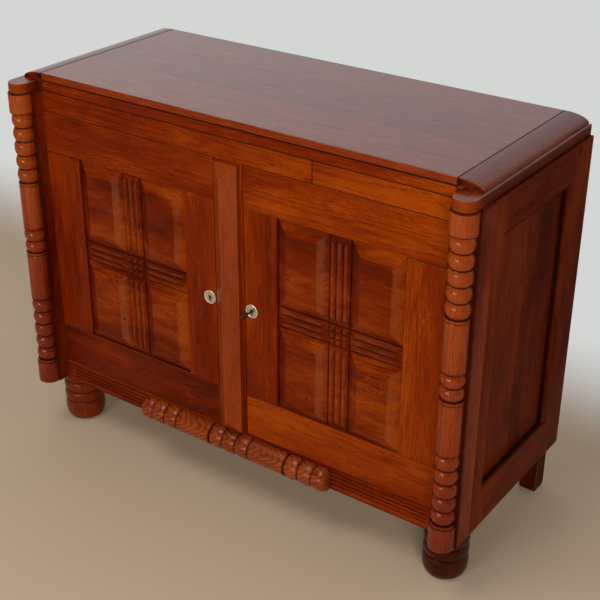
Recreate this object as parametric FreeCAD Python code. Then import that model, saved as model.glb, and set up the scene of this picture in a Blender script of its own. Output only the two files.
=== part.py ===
import FreeCAD, Part
import math
import os

Vector = FreeCAD.Vector

# Carcass, in millimetres
CASE_WIDTH = 1264.0
CASE_DEPTH = 482.0
CASE_HEIGHT = 794.5
FOOT_HEIGHT = 140.0
FRAME_THICKNESS = 28.0
FRONT_STILE_WIDTH = 67.0
STILE_PROUD = 30.0
APRON_HEIGHT = 50.5
PLINTH_HEIGHT = 52.0
PLINTH_DROP = 7.0
CENTRE_POST_WIDTH = 80.0

# Top and the thin frame under it
TOP_THICKNESS = 18.0
TOP_BOARD_INSET = 72.0
TOP_END_WIDTH = 58.0
TOP_END_FLAT = 9.0
TOP_TONGUE_LENGTH = 8.0
TOP_TONGUE_THICKNESS = 6.0
UNDER_TOP_THICKNESS = 25.0
UNDER_TOP_FRONT_DEPTH = 70.0

# Turned columns on the front stiles
COLUMN_INSET = 34.0
COLUMN_STANDOFF = 4.5
COLUMN_BEAD_RADIUS = 27.5
COLUMN_SHAFT_RADIUS = 26.8
COLUMN_CAPITAL_RADIUS = 30.0
COLUMN_GROOVE_RADIUS = 22.8
COLUMN_CAPITAL_HEIGHT = 50.5
COLUMN_BASE_HEIGHT = 67.0
COLUMN_END_BEADS = 5
COLUMN_END_PITCH = 35.3
COLUMN_MIDDLE_BEADS = 2
COLUMN_MIDDLE_PITCH = 31.0
COLUMN_MIDDLE_HEIGHT = 379.0
COLUMN_LINE_DROP = 8.0
COLUMN_LINE_WIDTH = 2.4
COLUMN_LINE_DEPTH = 1.6
EAR_RADIUS = 26.5

# Framed sides
SIDE_THICKNESS = 28.0
SIDE_FRONT_STILE_WIDTH = 60.5
SIDE_REAR_STILE_WIDTH = 101.0
SIDE_TOP_RAIL_HEIGHT = 93.0
SIDE_BOTTOM_RAIL_HEIGHT = 100.0
SIDE_BEVEL_WIDTH = 17.0
SIDE_BEVEL_DEPTH = 8.0
SIDE_PANEL_RECESS = 16.0
SIDE_PANEL_THICKNESS = 8.0

# Back
BACK_THICKNESS = 20.0
BACK_TOP_RAIL_HEIGHT = 80.0
BACK_BOTTOM_RAIL_HEIGHT = 90.0
BACK_STILE_WIDTH = 90.0
BACK_PANEL_THICKNESS = 6.0
BACK_PANEL_RECESS = 8.0

# Joinery
FIT = 0.15
EASE = 0.8
TENON_LENGTH = 22.0
TENON_THICKNESS = 9.0
TENON_SHOULDER = 8.0
GROOVE_DEPTH = 8.0
TONGUE_END_ROOM = 0.8

# Doors
DOOR_GAP = 2.0
DOOR_THICKNESS = 24.0
DOOR_TOP_RAIL_HEIGHT = 99.0
DOOR_BOTTOM_RAIL_HEIGHT = 107.0
DOOR_HINGE_STILE_WIDTH = 104.0
DOOR_LOCK_STILE_WIDTH = 89.0
DOOR_TENON_LENGTH = 40.0
PANEL_RECESS = 8.0
PANEL_THICKNESS = 10.0
FIELD_RISE = 15.0
FIELD_BEVEL = 30.0
REED_COUNT = 3
REED_BAND_WIDTH = 53.0
REED_BAND_HEIGHT = 50.0
REED_RISE = 9.0
REED_BEVEL = 5.0
REED_VALLEY = 1.2

# Door pivots
PIVOT_INSET = 26.0
PIVOT_SETBACK = 8.0
PIVOT_RADIUS = 3.0
PIVOT_CLEARANCE = 0.05
PIVOT_REACH = 8.0
PIVOT_SEAT_DEPTH = 22.0
COLLAR_RADIUS = 6.0
COLLAR_CLEARANCE = 0.1
BUSH_RADIUS = 5.0
BUSH_LENGTH = 10.0

# Locks and key
KEY_HEIGHT = 533.0
KEY_BACKSET = 19.0
ESCUTCHEON_RADIUS = 17.0
ESCUTCHEON_THICKNESS = 1.8
ESCUTCHEON_EASE = 0.7
ESCUTCHEON_RIM_WIDTH = 3.2
ESCUTCHEON_DISH_DEPTH = 0.8
KEYHOLE_SLOT_WIDTH = 3.4
KEYHOLE_SLOT_DROP = 10.0
KEYHOLE_WOOD_RADIUS = 3.8
SHANK_RADIUS = 2.6
SHANK_FRONT = 17.0
SHANK_BACK = 17.0
SHANK_CLEARANCE = 0.08
KEY_COLLAR_RADIUS = 4.2
KEY_COLLAR_LENGTH = 2.0
KEY_COLLAR_GAP = 0.4
BOW_LENGTH = 24.0
BOW_HEIGHT = 17.0
BOW_WALL = 4.0
BOW_THICKNESS = 3.6
BIT_LENGTH = 8.5
BIT_THICKNESS = 2.4
BIT_WIDTH = 5.0
LOCK_FACE_WOOD = 10.0
LOCK_WIDTH = 46.0
LOCK_BELOW_KEY = 22.0
LOCK_ABOVE_KEY = 36.0
LOCK_WALL = 1.6
BOLT_LENGTH = 39.0
BOLT_HEIGHT = 14.0
BOLT_THICKNESS = 6.0
BOLT_ABOVE_KEY = 10.0
BOLT_SETBACK = 4.0
BOLT_INSET = 1.0
BOLT_CLEARANCE = 0.3
STRIKE_THICKNESS = 1.5
STRIKE_WIDTH = 20.0
STRIKE_HEIGHT = 40.0
STRIKE_POCKET_DEPTH = 12.0

# Centre moulding on the post
RIDGE_HALF_WIDTH = 32.0
RIDGE_SIDE_HEIGHT = 10.0
RIDGE_HEIGHT = 33.0
RIDGE_HIP = 30.0
RIDGE_END_GAP = 4.0

# Plinth grooves and the turned moulding on it
PLINTH_GROOVE_COUNT = 4
PLINTH_GROOVE_PITCH = 10.5
PLINTH_GROOVE_TOP = 12.5
PLINTH_GROOVE_WIDTH = 8.0
PLINTH_GROOVE_DEPTH = 3.6
PLINTH_GROOVE_STOP = 20.0
MOULDING_BEAD_PITCH = 39.0
MOULDING_GROUP_BEADS = 3
MOULDING_PLAIN_LENGTH = 108.0
MOULDING_BEAD_RADIUS = 31.0
MOULDING_GROOVE_RADIUS = 26.5
MOULDING_PLAIN_RADIUS = 30.0
MOULDING_TIP_RADIUS = 16.0
MOULDING_TIP_SWELL = 28.0
MOULDING_HEIGHT = 14.3

# Feet
FOOT_INSET_X = 66.0
FOOT_INSET_Y = 54.0
FOOT_FLOOR_RADIUS = 38.0
FOOT_BULB_SWELL = 48.5
FOOT_BULB_HEIGHT = 34.0
FOOT_SHOULDER_SWELL = 51.9
FOOT_RING_RADIUS = 53.0
FOOT_GROOVE_RADIUS = 48.0
FOOT_NECK_RADIUS = 50.0
FOOT_ROOM = 1.0
FOOT_RING_BOTTOM = 55.0
FOOT_RING_PITCH = 31.0
FOOT_RINGS = 2
FOOT_SPIGOT_RADIUS = 15.0
FOOT_SPIGOT_LENGTH = 25.0
REAR_FOOT_WIDTH = 45.0
REAR_FOOT_INSET = 23.0
REAR_FOOT_CHAMFER = 4.0
REAR_SPIGOT_WIDTH = 18.0
REAR_SPIGOT_EDGE = 24.0
BLOCK_WIDTH = 124.0
BLOCK_DEPTH = 102.0

# Inside
FLOOR_THICKNESS = 16.0
SHELF_HEIGHT = 545.0
SHELF_THICKNESS = 18.0
SHELF_FRONT_SETBACK = 60.0
SHELF_SIDE_GAP = 0.5
CLEAT_WIDTH = 20.0
CLEAT_HEIGHT = 24.0
CLEAT_FRONT_SETBACK = 40.0
STOP_INSET = 20.0
STOP_WIDTH = 70.0
STOP_DROP = 14.0
STOP_HEIGHT = 44.0
STOP_DEPTH = 18.0

# Places worked out from the sizes above
HALF_WIDTH = CASE_WIDTH / 2
FRONT = (STILE_PROUD + COLUMN_STANDOFF + COLUMN_CAPITAL_RADIUS - CASE_DEPTH) / 2
STILE_FRONT = FRONT - STILE_PROUD
BACK = FRONT + CASE_DEPTH
CASE_BOTTOM = FOOT_HEIGHT
CASE_TOP = CASE_BOTTOM + CASE_HEIGHT
UNDER_TOP_TOP = CASE_TOP + UNDER_TOP_THICKNESS
TOP_SURFACE = UNDER_TOP_TOP + TOP_THICKNESS
STILE_INNER = HALF_WIDTH - FRONT_STILE_WIDTH
SIDE_INNER = HALF_WIDTH - SIDE_THICKNESS
TOP_BOARD_EDGE = HALF_WIDTH - TOP_BOARD_INSET
FRAME_BACK = FRONT + FRAME_THICKNESS
FRAME_MIDDLE = FRONT + FRAME_THICKNESS / 2
APRON_BOTTOM = CASE_TOP - APRON_HEIGHT
PLINTH_TOP = CASE_BOTTOM + PLINTH_HEIGHT
POST_EDGE = CENTRE_POST_WIDTH / 2
COLUMN_X = HALF_WIDTH - COLUMN_INSET
COLUMN_Y = STILE_FRONT - COLUMN_STANDOFF
UNDER_TOP_EDGE = COLUMN_X + EAR_RADIUS
SIDE_OPEN_FRONT = FRAME_BACK + SIDE_FRONT_STILE_WIDTH
SIDE_OPEN_BACK = BACK - SIDE_REAR_STILE_WIDTH
SIDE_OPEN_BOTTOM = CASE_BOTTOM + SIDE_BOTTOM_RAIL_HEIGHT
SIDE_OPEN_TOP = CASE_TOP - SIDE_TOP_RAIL_HEIGHT
SIDE_MIDDLE = HALF_WIDTH - SIDE_THICKNESS / 2
BACK_FRONT = BACK - BACK_THICKNESS
BACK_MIDDLE = BACK - BACK_THICKNESS / 2
BACK_OPEN_BOTTOM = CASE_BOTTOM + BACK_BOTTOM_RAIL_HEIGHT
BACK_OPEN_TOP = CASE_TOP - BACK_TOP_RAIL_HEIGHT
DOOR_OUTER = STILE_INNER - DOOR_GAP
DOOR_INNER = POST_EDGE + DOOR_GAP
DOOR_BOTTOM = PLINTH_TOP + DOOR_GAP
DOOR_TOP = APRON_BOTTOM - DOOR_GAP
DOOR_BACK = FRONT + DOOR_THICKNESS
DOOR_MIDDLE = FRONT + DOOR_THICKNESS / 2
DOOR_OPEN_OUTER = DOOR_OUTER - DOOR_HINGE_STILE_WIDTH
DOOR_OPEN_INNER = DOOR_INNER + DOOR_LOCK_STILE_WIDTH
DOOR_OPEN_BOTTOM = DOOR_BOTTOM + DOOR_BOTTOM_RAIL_HEIGHT
DOOR_OPEN_TOP = DOOR_TOP - DOOR_TOP_RAIL_HEIGHT
PANEL_FACE = FRONT + PANEL_RECESS
PIVOT_X = DOOR_OUTER - PIVOT_INSET
PIVOT_Y = FRONT + PIVOT_SETBACK
KEY_X = DOOR_INNER + KEY_BACKSET
LOCK_FRONT = FRONT + LOCK_FACE_WOOD
BOLT_FRONT = LOCK_FRONT + BOLT_SETBACK
BOLT_BOTTOM = KEY_HEIGHT + BOLT_ABOVE_KEY
FLOOR_TOP = PLINTH_TOP
FLOOR_BOTTOM = FLOOR_TOP - FLOOR_THICKNESS
SPIGOT_TOP = FOOT_HEIGHT + FOOT_SPIGOT_LENGTH
REAR_FOOT_EDGE = HALF_WIDTH - REAR_FOOT_INSET


def box(x0, x1, y0, y1, z0, z1):
    """Plain box between two corners."""
    return Part.makeBox(x1 - x0, y1 - y0, z1 - z0, Vector(x0, y0, z0))


def board(grain, x0, x1, y0, y1, z0, z1):
    """Box whose four edges along the grain, x, y or z, are eased."""
    solid = box(x0, x1, y0, y1, z0, z1)
    long_edges = []
    for edge in solid.Edges:
        if abs(getattr(edge.tangentAt(edge.FirstParameter), grain)) > 0.5:
            long_edges.append(edge)
    return solid.makeChamfer(EASE, long_edges)


def mirrored(shape):
    """The same piece on the other side of the middle plane."""
    return shape.mirror(Vector(0, 0, 0), Vector(1, 0, 0))


def grown(limits, room):
    """Limits of a box moved outwards by some room on every side."""
    return [value + (room if index % 2 else -room) for index, value in enumerate(limits)]


def prism(points, direction):
    """Solid swept from a flat outline along a straight direction."""
    return Part.Face(Part.makePolygon(points + points[:1])).extrude(direction)


def tapered(first, second):
    """Solid with flat sides between two outlines of as many points."""
    wires = [Part.makePolygon(points + points[:1]) for points in (first, second)]
    return Part.makeLoft(wires, True, True)


def cylinder_z(radius, x, y, z0, z1):
    """Upright round bar."""
    return Part.makeCylinder(radius, z1 - z0, Vector(x, y, z0))


def cylinder_y(radius, x, z, y0, y1):
    """Round bar from front to back."""
    return Part.makeCylinder(radius, y1 - y0, Vector(x, y0, z), Vector(0, 1, 0))


def turned(first_height, first_radius, steps):
    """Turned solid about Z.

    Each step is a height, a radius and a swell. A swell of None is a straight run to the step,
    and a radius there is where an arc to the step passes half way.
    """
    height = first_height
    radius = first_radius
    edges = [Part.makeLine(Vector(0, 0, height), Vector(radius, 0, height))]
    for next_height, next_radius, swell in steps:
        start = Vector(radius, 0, height)
        end = Vector(next_radius, 0, next_height)
        if swell is None:
            edges.append(Part.makeLine(start, end))
        else:
            middle = Vector(swell, 0, (height + next_height) / 2)
            edges.append(Part.Arc(start, middle, end).toShape())
        height = next_height
        radius = next_radius
    edges.append(Part.makeLine(Vector(radius, 0, height), Vector(0, 0, height)))
    edges.append(Part.makeLine(Vector(0, 0, height), Vector(0, 0, first_height)))
    return Part.Face(Part.Wire(edges)).revolve(Vector(0, 0, 0), Vector(0, 0, 1), 360)


def bead_steps(bottom, count, pitch, groove_radius, bead_radius):
    """Steps of a row of touching beads that starts at a groove."""
    return [(bottom + pitch * (index + 1), groove_radius, bead_radius) for index in range(count)]


def behind(plane):
    """All the space behind an upright plane, for cutting turned pieces flat."""
    return box(-CASE_WIDTH, CASE_WIDTH, plane, plane + CASE_DEPTH, -CASE_DEPTH, CASE_WIDTH)


def rail_tenon(x0, x1, z0, z1, middle, axis_is_x=True):
    """Limits of a tenon in a rail, thin across the rail and shouldered at its edges."""
    half = TENON_THICKNESS / 2
    if axis_is_x:
        return [x0, x1, middle - half, middle + half, z0 + TENON_SHOULDER, z1 - TENON_SHOULDER]
    return [middle - half, middle + half, x0, x1, z0 + TENON_SHOULDER, z1 - TENON_SHOULDER]


def front_rail_tenon(z0, z1):
    """Tenon at the right end of a front rail."""
    return rail_tenon(STILE_INNER, STILE_INNER + TENON_LENGTH, z0, z1, FRAME_MIDDLE)


def post_tenon(z0, z1):
    """Tenon at an end of the centre post."""
    half = TENON_THICKNESS / 2
    width = POST_EDGE - TENON_SHOULDER
    return [-width, width, FRAME_MIDDLE - half, FRAME_MIDDLE + half, z0, z1]


def front_stile():
    """Right front stile, proud of the doors, with mortises for the apron and the plinth rail."""
    solid = board("z", STILE_INNER, HALF_WIDTH, STILE_FRONT, FRAME_BACK, CASE_BOTTOM, CASE_TOP)
    for z0, z1 in ((APRON_BOTTOM, CASE_TOP), (CASE_BOTTOM, PLINTH_TOP)):
        solid = solid.cut(box(*grown(front_rail_tenon(z0, z1), FIT)))
    return solid


def front_rail(z0, z1, drop=0):
    """Rail between the front stiles, with a tenon at each end, that may hang below them by a drop."""
    solid = board("x", -STILE_INNER, STILE_INNER, FRONT, FRAME_BACK, z0 - drop, z1)
    tenon = box(*front_rail_tenon(z0, z1))
    return solid.fuse([tenon, mirrored(tenon)])


def apron():
    """Front rail under the top, bored for the upper bushes and mortised for the post."""
    solid = front_rail(APRON_BOTTOM, CASE_TOP)
    solid = solid.cut(box(*grown(post_tenon(APRON_BOTTOM, APRON_BOTTOM + TENON_LENGTH), FIT)))
    bore = cylinder_z(BUSH_RADIUS + FIT, PIVOT_X, PIVOT_Y, APRON_BOTTOM, APRON_BOTTOM + BUSH_LENGTH)
    return solid.cut([bore, mirrored(bore)])


def plinth_groove(index):
    """One of the stopped grooves along the plinth."""
    middle = PLINTH_TOP - PLINTH_GROOVE_TOP - PLINTH_GROOVE_PITCH * index
    half = PLINTH_GROOVE_WIDTH / 2
    end = STILE_INNER - PLINTH_GROOVE_STOP
    points = [
        Vector(-end, FRONT, middle - half),
        Vector(-end, FRONT, middle + half),
        Vector(-end, FRONT + PLINTH_GROOVE_DEPTH, middle),
    ]
    return prism(points, Vector(2 * end, 0, 0))


def plinth_rail():
    """Front rail under the doors, grooved, with the lower bushes and the foot of the post.

    It hangs below the case, and is cut away round the necks of the front feet.
    """
    solid = front_rail(CASE_BOTTOM, PLINTH_TOP, PLINTH_DROP)
    neck = cylinder_z(FOOT_NECK_RADIUS + FOOT_ROOM, HALF_WIDTH - FOOT_INSET_X, FRONT + FOOT_INSET_Y,
                      CASE_BOTTOM - PLINTH_DROP, CASE_BOTTOM)
    solid = solid.cut([neck, mirrored(neck)])
    solid = solid.cut([plinth_groove(index) for index in range(PLINTH_GROOVE_COUNT)])
    solid = solid.cut(box(*grown(post_tenon(PLINTH_TOP - TENON_LENGTH, PLINTH_TOP), FIT)))
    bore = cylinder_z(BUSH_RADIUS + FIT, PIVOT_X, PIVOT_Y, PLINTH_TOP - BUSH_LENGTH, PLINTH_TOP)
    return solid.cut([bore, mirrored(bore)])


def bolt_limits():
    """Right bolt at rest, drawn into its lock."""
    end = DOOR_INNER + BOLT_INSET
    return [end, end + BOLT_LENGTH, BOLT_FRONT, BOLT_FRONT + BOLT_THICKNESS,
            BOLT_BOTTOM, BOLT_BOTTOM + BOLT_HEIGHT]


def strike_limits():
    """Right strike plate, let into the side of the centre post."""
    bolt = bolt_limits()
    middle_y = (bolt[2] + bolt[3]) / 2
    middle_z = (bolt[4] + bolt[5]) / 2
    return [POST_EDGE - STRIKE_THICKNESS, POST_EDGE, middle_y - STRIKE_WIDTH / 2, middle_y + STRIKE_WIDTH / 2,
            middle_z - STRIKE_HEIGHT / 2, middle_z + STRIKE_HEIGHT / 2]


def bolt_pocket():
    """Space in the post that the right bolt slides into."""
    bolt = bolt_limits()
    room = grown(bolt, BOLT_CLEARANCE)
    return box(POST_EDGE - STRIKE_POCKET_DEPTH, POST_EDGE, *room[2:])


def centre_post():
    """Fixed post between the doors, tenoned into both rails."""
    solid = board("z", -POST_EDGE, POST_EDGE, FRONT, FRAME_BACK, PLINTH_TOP, APRON_BOTTOM)
    upper = box(*post_tenon(APRON_BOTTOM, APRON_BOTTOM + TENON_LENGTH))
    lower = box(*post_tenon(PLINTH_TOP - TENON_LENGTH, PLINTH_TOP))
    solid = solid.fuse([upper, lower])
    strike = strike_limits()
    recess = box(strike[0] - FIT, strike[1], *grown(strike, FIT)[2:])
    pockets = recess.fuse(bolt_pocket())
    return solid.cut([pockets, mirrored(pockets)])


def strike_plates():
    """Plates with the holes that the bolts pass."""
    plate = box(*strike_limits()).cut(bolt_pocket())
    return Part.makeCompound([plate, mirrored(plate)])


def centre_moulding():
    """Ridged moulding on the post, hipped at both ends."""
    bottom = PLINTH_TOP + RIDGE_END_GAP
    top = APRON_BOTTOM - RIDGE_END_GAP
    outline = [(-RIDGE_HALF_WIDTH, 0), (-RIDGE_HALF_WIDTH, RIDGE_SIDE_HEIGHT), (0, RIDGE_HEIGHT),
               (RIDGE_HALF_WIDTH, RIDGE_SIDE_HEIGHT), (RIDGE_HALF_WIDTH, 0)]
    points = [Vector(x, FRONT - rise, bottom) for x, rise in outline]
    solid = prism(points, Vector(0, 0, top - bottom))
    slope = RIDGE_HIP / (RIDGE_HEIGHT - RIDGE_SIDE_HEIGHT)
    reach = RIDGE_HEIGHT + RIDGE_SIDE_HEIGHT
    run = slope * (reach - RIDGE_SIDE_HEIGHT)
    for end, inward in ((bottom, 1), (top, -1)):
        hip = [
            Vector(-CENTRE_POST_WIDTH, FRONT - RIDGE_SIDE_HEIGHT, end),
            Vector(-CENTRE_POST_WIDTH, FRONT - reach, end),
            Vector(-CENTRE_POST_WIDTH, FRONT - reach, end + inward * run),
        ]
        solid = solid.cut(prism(hip, Vector(2 * CENTRE_POST_WIDTH, 0, 0)))
    return solid


def column():
    """Right column, turned and cut flat to sit on the face of its stile."""
    lower_bottom = CASE_BOTTOM + COLUMN_BASE_HEIGHT
    upper_top = CASE_TOP - COLUMN_CAPITAL_HEIGHT
    upper_bottom = upper_top - COLUMN_END_BEADS * COLUMN_END_PITCH
    middle_bottom = CASE_BOTTOM + COLUMN_MIDDLE_HEIGHT
    groups = (
        (lower_bottom, COLUMN_END_BEADS, COLUMN_END_PITCH),
        (middle_bottom, COLUMN_MIDDLE_BEADS, COLUMN_MIDDLE_PITCH),
        (upper_bottom, COLUMN_END_BEADS, COLUMN_END_PITCH),
    )
    steps = []
    plain_radius = COLUMN_CAPITAL_RADIUS
    for bottom, count, pitch in groups:
        line = bottom - COLUMN_LINE_DROP
        steps.append((line - COLUMN_LINE_WIDTH / 2, plain_radius, None))
        steps.append((line, COLUMN_SHAFT_RADIUS - COLUMN_LINE_DEPTH, None))
        steps.append((line + COLUMN_LINE_WIDTH / 2, COLUMN_SHAFT_RADIUS, None))
        steps.append((bottom, COLUMN_SHAFT_RADIUS, None))
        steps.append((bottom, COLUMN_GROOVE_RADIUS, None))
        steps += bead_steps(bottom, count, pitch, COLUMN_GROOVE_RADIUS, COLUMN_BEAD_RADIUS)
        steps.append((bottom + count * pitch, COLUMN_SHAFT_RADIUS, None))
        plain_radius = COLUMN_SHAFT_RADIUS
    steps.append((upper_top, COLUMN_CAPITAL_RADIUS, None))
    steps.append((CASE_TOP, COLUMN_CAPITAL_RADIUS, None))
    solid = turned(CASE_BOTTOM, COLUMN_CAPITAL_RADIUS, steps)
    solid.translate(Vector(COLUMN_X, COLUMN_Y, 0))
    return solid.cut(behind(STILE_FRONT))


def turned_moulding():
    """Half-round turned moulding along the plinth."""
    pitch = MOULDING_BEAD_PITCH
    group = MOULDING_GROUP_BEADS * pitch
    length = 3 * group + 2 * MOULDING_PLAIN_LENGTH
    start = -length / 2
    shoulder = (MOULDING_BEAD_RADIUS * 3 + MOULDING_GROOVE_RADIUS) / 4
    steps = [(start + pitch / 2, MOULDING_BEAD_RADIUS, MOULDING_TIP_SWELL),
             (start + pitch, MOULDING_GROOVE_RADIUS, shoulder)]
    steps += bead_steps(start + pitch, MOULDING_GROUP_BEADS - 1, pitch,
                        MOULDING_GROOVE_RADIUS, MOULDING_BEAD_RADIUS)
    middle = -group / 2
    right = start + 2 * (group + MOULDING_PLAIN_LENGTH)
    for bottom, count in ((middle, MOULDING_GROUP_BEADS), (right, MOULDING_GROUP_BEADS - 1)):
        steps.append((bottom - MOULDING_PLAIN_LENGTH, MOULDING_PLAIN_RADIUS, None))
        steps.append((bottom, MOULDING_PLAIN_RADIUS, None))
        steps.append((bottom, MOULDING_GROOVE_RADIUS, None))
        steps += bead_steps(bottom, count, pitch, MOULDING_GROOVE_RADIUS, MOULDING_BEAD_RADIUS)
    steps.append((-start - pitch / 2, MOULDING_BEAD_RADIUS, shoulder))
    steps.append((-start, MOULDING_TIP_RADIUS, MOULDING_TIP_SWELL))
    solid = turned(start, MOULDING_TIP_RADIUS, steps)
    solid.rotate(Vector(0, 0, 0), Vector(0, 1, 0), 90)
    solid.translate(Vector(0, FRONT, CASE_BOTTOM + MOULDING_HEIGHT))
    return solid.cut(behind(FRONT))


def side_bevel():
    """Space cut by the bevel round the right panel's opening, square along the bottom."""
    sink = HALF_WIDTH - SIDE_BEVEL_DEPTH
    width = SIDE_BEVEL_WIDTH
    outer = [
        Vector(HALF_WIDTH, SIDE_OPEN_FRONT - width, SIDE_OPEN_BOTTOM),
        Vector(HALF_WIDTH, SIDE_OPEN_BACK + width, SIDE_OPEN_BOTTOM),
        Vector(HALF_WIDTH, SIDE_OPEN_BACK + width, SIDE_OPEN_TOP + width),
        Vector(HALF_WIDTH, SIDE_OPEN_FRONT - width, SIDE_OPEN_TOP + width),
    ]
    inner = [
        Vector(sink, SIDE_OPEN_FRONT, SIDE_OPEN_BOTTOM),
        Vector(sink, SIDE_OPEN_BACK, SIDE_OPEN_BOTTOM),
        Vector(sink, SIDE_OPEN_BACK, SIDE_OPEN_TOP),
        Vector(sink, SIDE_OPEN_FRONT, SIDE_OPEN_TOP),
    ]
    return tapered(inner, outer)


def side_panel_limits(edge):
    """Limits of the right side panel, with its edges some way into the frame."""
    face = HALF_WIDTH - SIDE_PANEL_RECESS
    return [face - SIDE_PANEL_THICKNESS, face, SIDE_OPEN_FRONT - edge, SIDE_OPEN_BACK + edge,
            SIDE_OPEN_BOTTOM - edge, SIDE_OPEN_TOP + edge]


def side_panel():
    """Right side panel, a flat board held in the frame's grooves."""
    return box(*side_panel_limits(GROOVE_DEPTH - TONGUE_END_ROOM))


def side_groove():
    """Room in the frame for the panel's edges."""
    limits = side_panel_limits(GROOVE_DEPTH)
    return box(limits[0] - FIT, limits[1] + FIT, *limits[2:])


def side_tenons(z0, z1):
    """Limits of the tenons at the front and rear ends of a side rail."""
    front = rail_tenon(SIDE_OPEN_FRONT - TENON_LENGTH, SIDE_OPEN_FRONT, z0, z1, SIDE_MIDDLE, False)
    rear = rail_tenon(SIDE_OPEN_BACK, SIDE_OPEN_BACK + TENON_LENGTH, z0, z1, SIDE_MIDDLE, False)
    return front, rear


SIDE_RAILS = {
    "top": (SIDE_OPEN_TOP, CASE_TOP),
    "bottom": (CASE_BOTTOM, SIDE_OPEN_BOTTOM),
}


def side_rail(place):
    """Right top or bottom side rail, tenoned into both stiles."""
    z0, z1 = SIDE_RAILS[place]
    solid = board("y", SIDE_INNER, HALF_WIDTH, SIDE_OPEN_FRONT, SIDE_OPEN_BACK, z0, z1)
    solid = solid.fuse([box(*limits) for limits in side_tenons(z0, z1)])
    return solid.cut([side_bevel(), side_groove()])


def back_rail_tenon(z0, z1):
    """Tenon at the right end of a back rail, in the side's rear stile."""
    return rail_tenon(SIDE_INNER, SIDE_INNER + SIDE_THICKNESS / 2, z0, z1, BACK_MIDDLE)


BACK_RAILS = {
    "top": (BACK_OPEN_TOP, CASE_TOP),
    "bottom": (CASE_BOTTOM, BACK_OPEN_BOTTOM),
}


def back_panel_limits(edge):
    """Limits of the right back panel, with its edges some way into the frame."""
    face = BACK - BACK_PANEL_RECESS
    return [BACK_STILE_WIDTH / 2 - edge, SIDE_INNER + edge, face - BACK_PANEL_THICKNESS, face,
            BACK_OPEN_BOTTOM - edge, BACK_OPEN_TOP + edge]


def back_groove():
    """Room in the back's frame for the right panel's edges."""
    limits = back_panel_limits(GROOVE_DEPTH)
    return box(*limits[:2], limits[2] - FIT, limits[3] + FIT, *limits[4:])


def side_stile(y0, y1):
    """Right side stile between two depths, with its mortises, groove and bevel."""
    solid = board("z", SIDE_INNER, HALF_WIDTH, y0, y1, CASE_BOTTOM, CASE_TOP)
    for z0, z1 in SIDE_RAILS.values():
        solid = solid.cut([box(*grown(limits, FIT)) for limits in side_tenons(z0, z1)])
    return solid.cut([side_bevel(), side_groove()])


def side_rear_stile():
    """Right rear stile, which also takes the back's rails and panel."""
    solid = side_stile(SIDE_OPEN_BACK, BACK)
    for z0, z1 in BACK_RAILS.values():
        solid = solid.cut(box(*grown(back_rail_tenon(z0, z1), FIT)))
    return solid.cut(back_groove())


def back_stile_tenon(z0, z1):
    """Tenon at an end of the back's middle stile."""
    half = TENON_THICKNESS / 2
    width = BACK_STILE_WIDTH / 2 - GROOVE_DEPTH - TENON_SHOULDER
    return [-width, width, BACK_MIDDLE - half, BACK_MIDDLE + half, z0, z1]


BACK_STILE_TENONS = (
    back_stile_tenon(BACK_OPEN_TOP, BACK_OPEN_TOP + TENON_LENGTH),
    back_stile_tenon(BACK_OPEN_BOTTOM - TENON_LENGTH, BACK_OPEN_BOTTOM),
)


def back_stile():
    """Middle stile of the back."""
    half = BACK_STILE_WIDTH / 2
    solid = board("z", -half, half, BACK_FRONT, BACK, BACK_OPEN_BOTTOM, BACK_OPEN_TOP)
    solid = solid.fuse([box(*limits) for limits in BACK_STILE_TENONS])
    groove = back_groove()
    return solid.cut([groove, mirrored(groove)])


def back_rail(place):
    """Top or bottom rail of the back; the top rail also closes the space under the top."""
    z0, z1 = BACK_RAILS[place]
    solid = board("x", -SIDE_INNER, SIDE_INNER, BACK_FRONT, BACK, z0, z1)
    if place == "top":
        half = TOP_BOARD_EDGE
        upper = box(-half, half, BACK_FRONT + EASE, BACK - EASE, z1 - 2 * EASE, UNDER_TOP_TOP)
        solid = solid.fuse(upper)
    tenon = box(*back_rail_tenon(z0, z1))
    solid = solid.fuse([tenon, mirrored(tenon)])
    groove = back_groove()
    solid = solid.cut([groove, mirrored(groove)])
    return solid.cut([box(*grown(limits, FIT)) for limits in BACK_STILE_TENONS])


def back_panels():
    """The two thin panels of the back."""
    panel = box(*back_panel_limits(GROOVE_DEPTH - TONGUE_END_ROOM))
    return Part.makeCompound([panel, mirrored(panel)])


def under_top_side():
    """Right side member of the under-top, which ends in the round ear over the column."""
    solid = board("y", TOP_BOARD_EDGE, UNDER_TOP_EDGE, FRONT, BACK, CASE_TOP, UNDER_TOP_TOP)
    neck = board("y", COLUMN_X - EAR_RADIUS, UNDER_TOP_EDGE, COLUMN_Y, FRONT, CASE_TOP, UNDER_TOP_TOP)
    ear = cylinder_z(EAR_RADIUS, COLUMN_X, COLUMN_Y, CASE_TOP, UNDER_TOP_TOP)
    rims = [edge for edge in ear.Edges if edge.Closed]
    round_end = ear.makeChamfer(EASE, rims).cut(behind(COLUMN_Y))
    return solid.fuse([neck, round_end]).removeSplitter()


def under_top_front():
    """Front member of the under-top."""
    back = FRONT + UNDER_TOP_FRONT_DEPTH
    return board("x", -TOP_BOARD_EDGE, TOP_BOARD_EDGE, FRONT, back, CASE_TOP, UNDER_TOP_TOP)


def top_tongue(length):
    """Limits of the tongue that joins the top board to its right end board."""
    middle = UNDER_TOP_TOP + TOP_THICKNESS / 2
    half = TOP_TONGUE_THICKNESS / 2
    return [TOP_BOARD_EDGE, TOP_BOARD_EDGE + length, FRONT + GROOVE_DEPTH, BACK - GROOVE_DEPTH,
            middle - half, middle + half]


def top_board():
    """Main board of the top, tongued at both ends."""
    solid = board("x", -TOP_BOARD_EDGE, TOP_BOARD_EDGE, FRONT, BACK, UNDER_TOP_TOP, TOP_SURFACE)
    tongue = box(*top_tongue(TOP_TONGUE_LENGTH))
    return solid.fuse([tongue, mirrored(tongue)])


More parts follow.
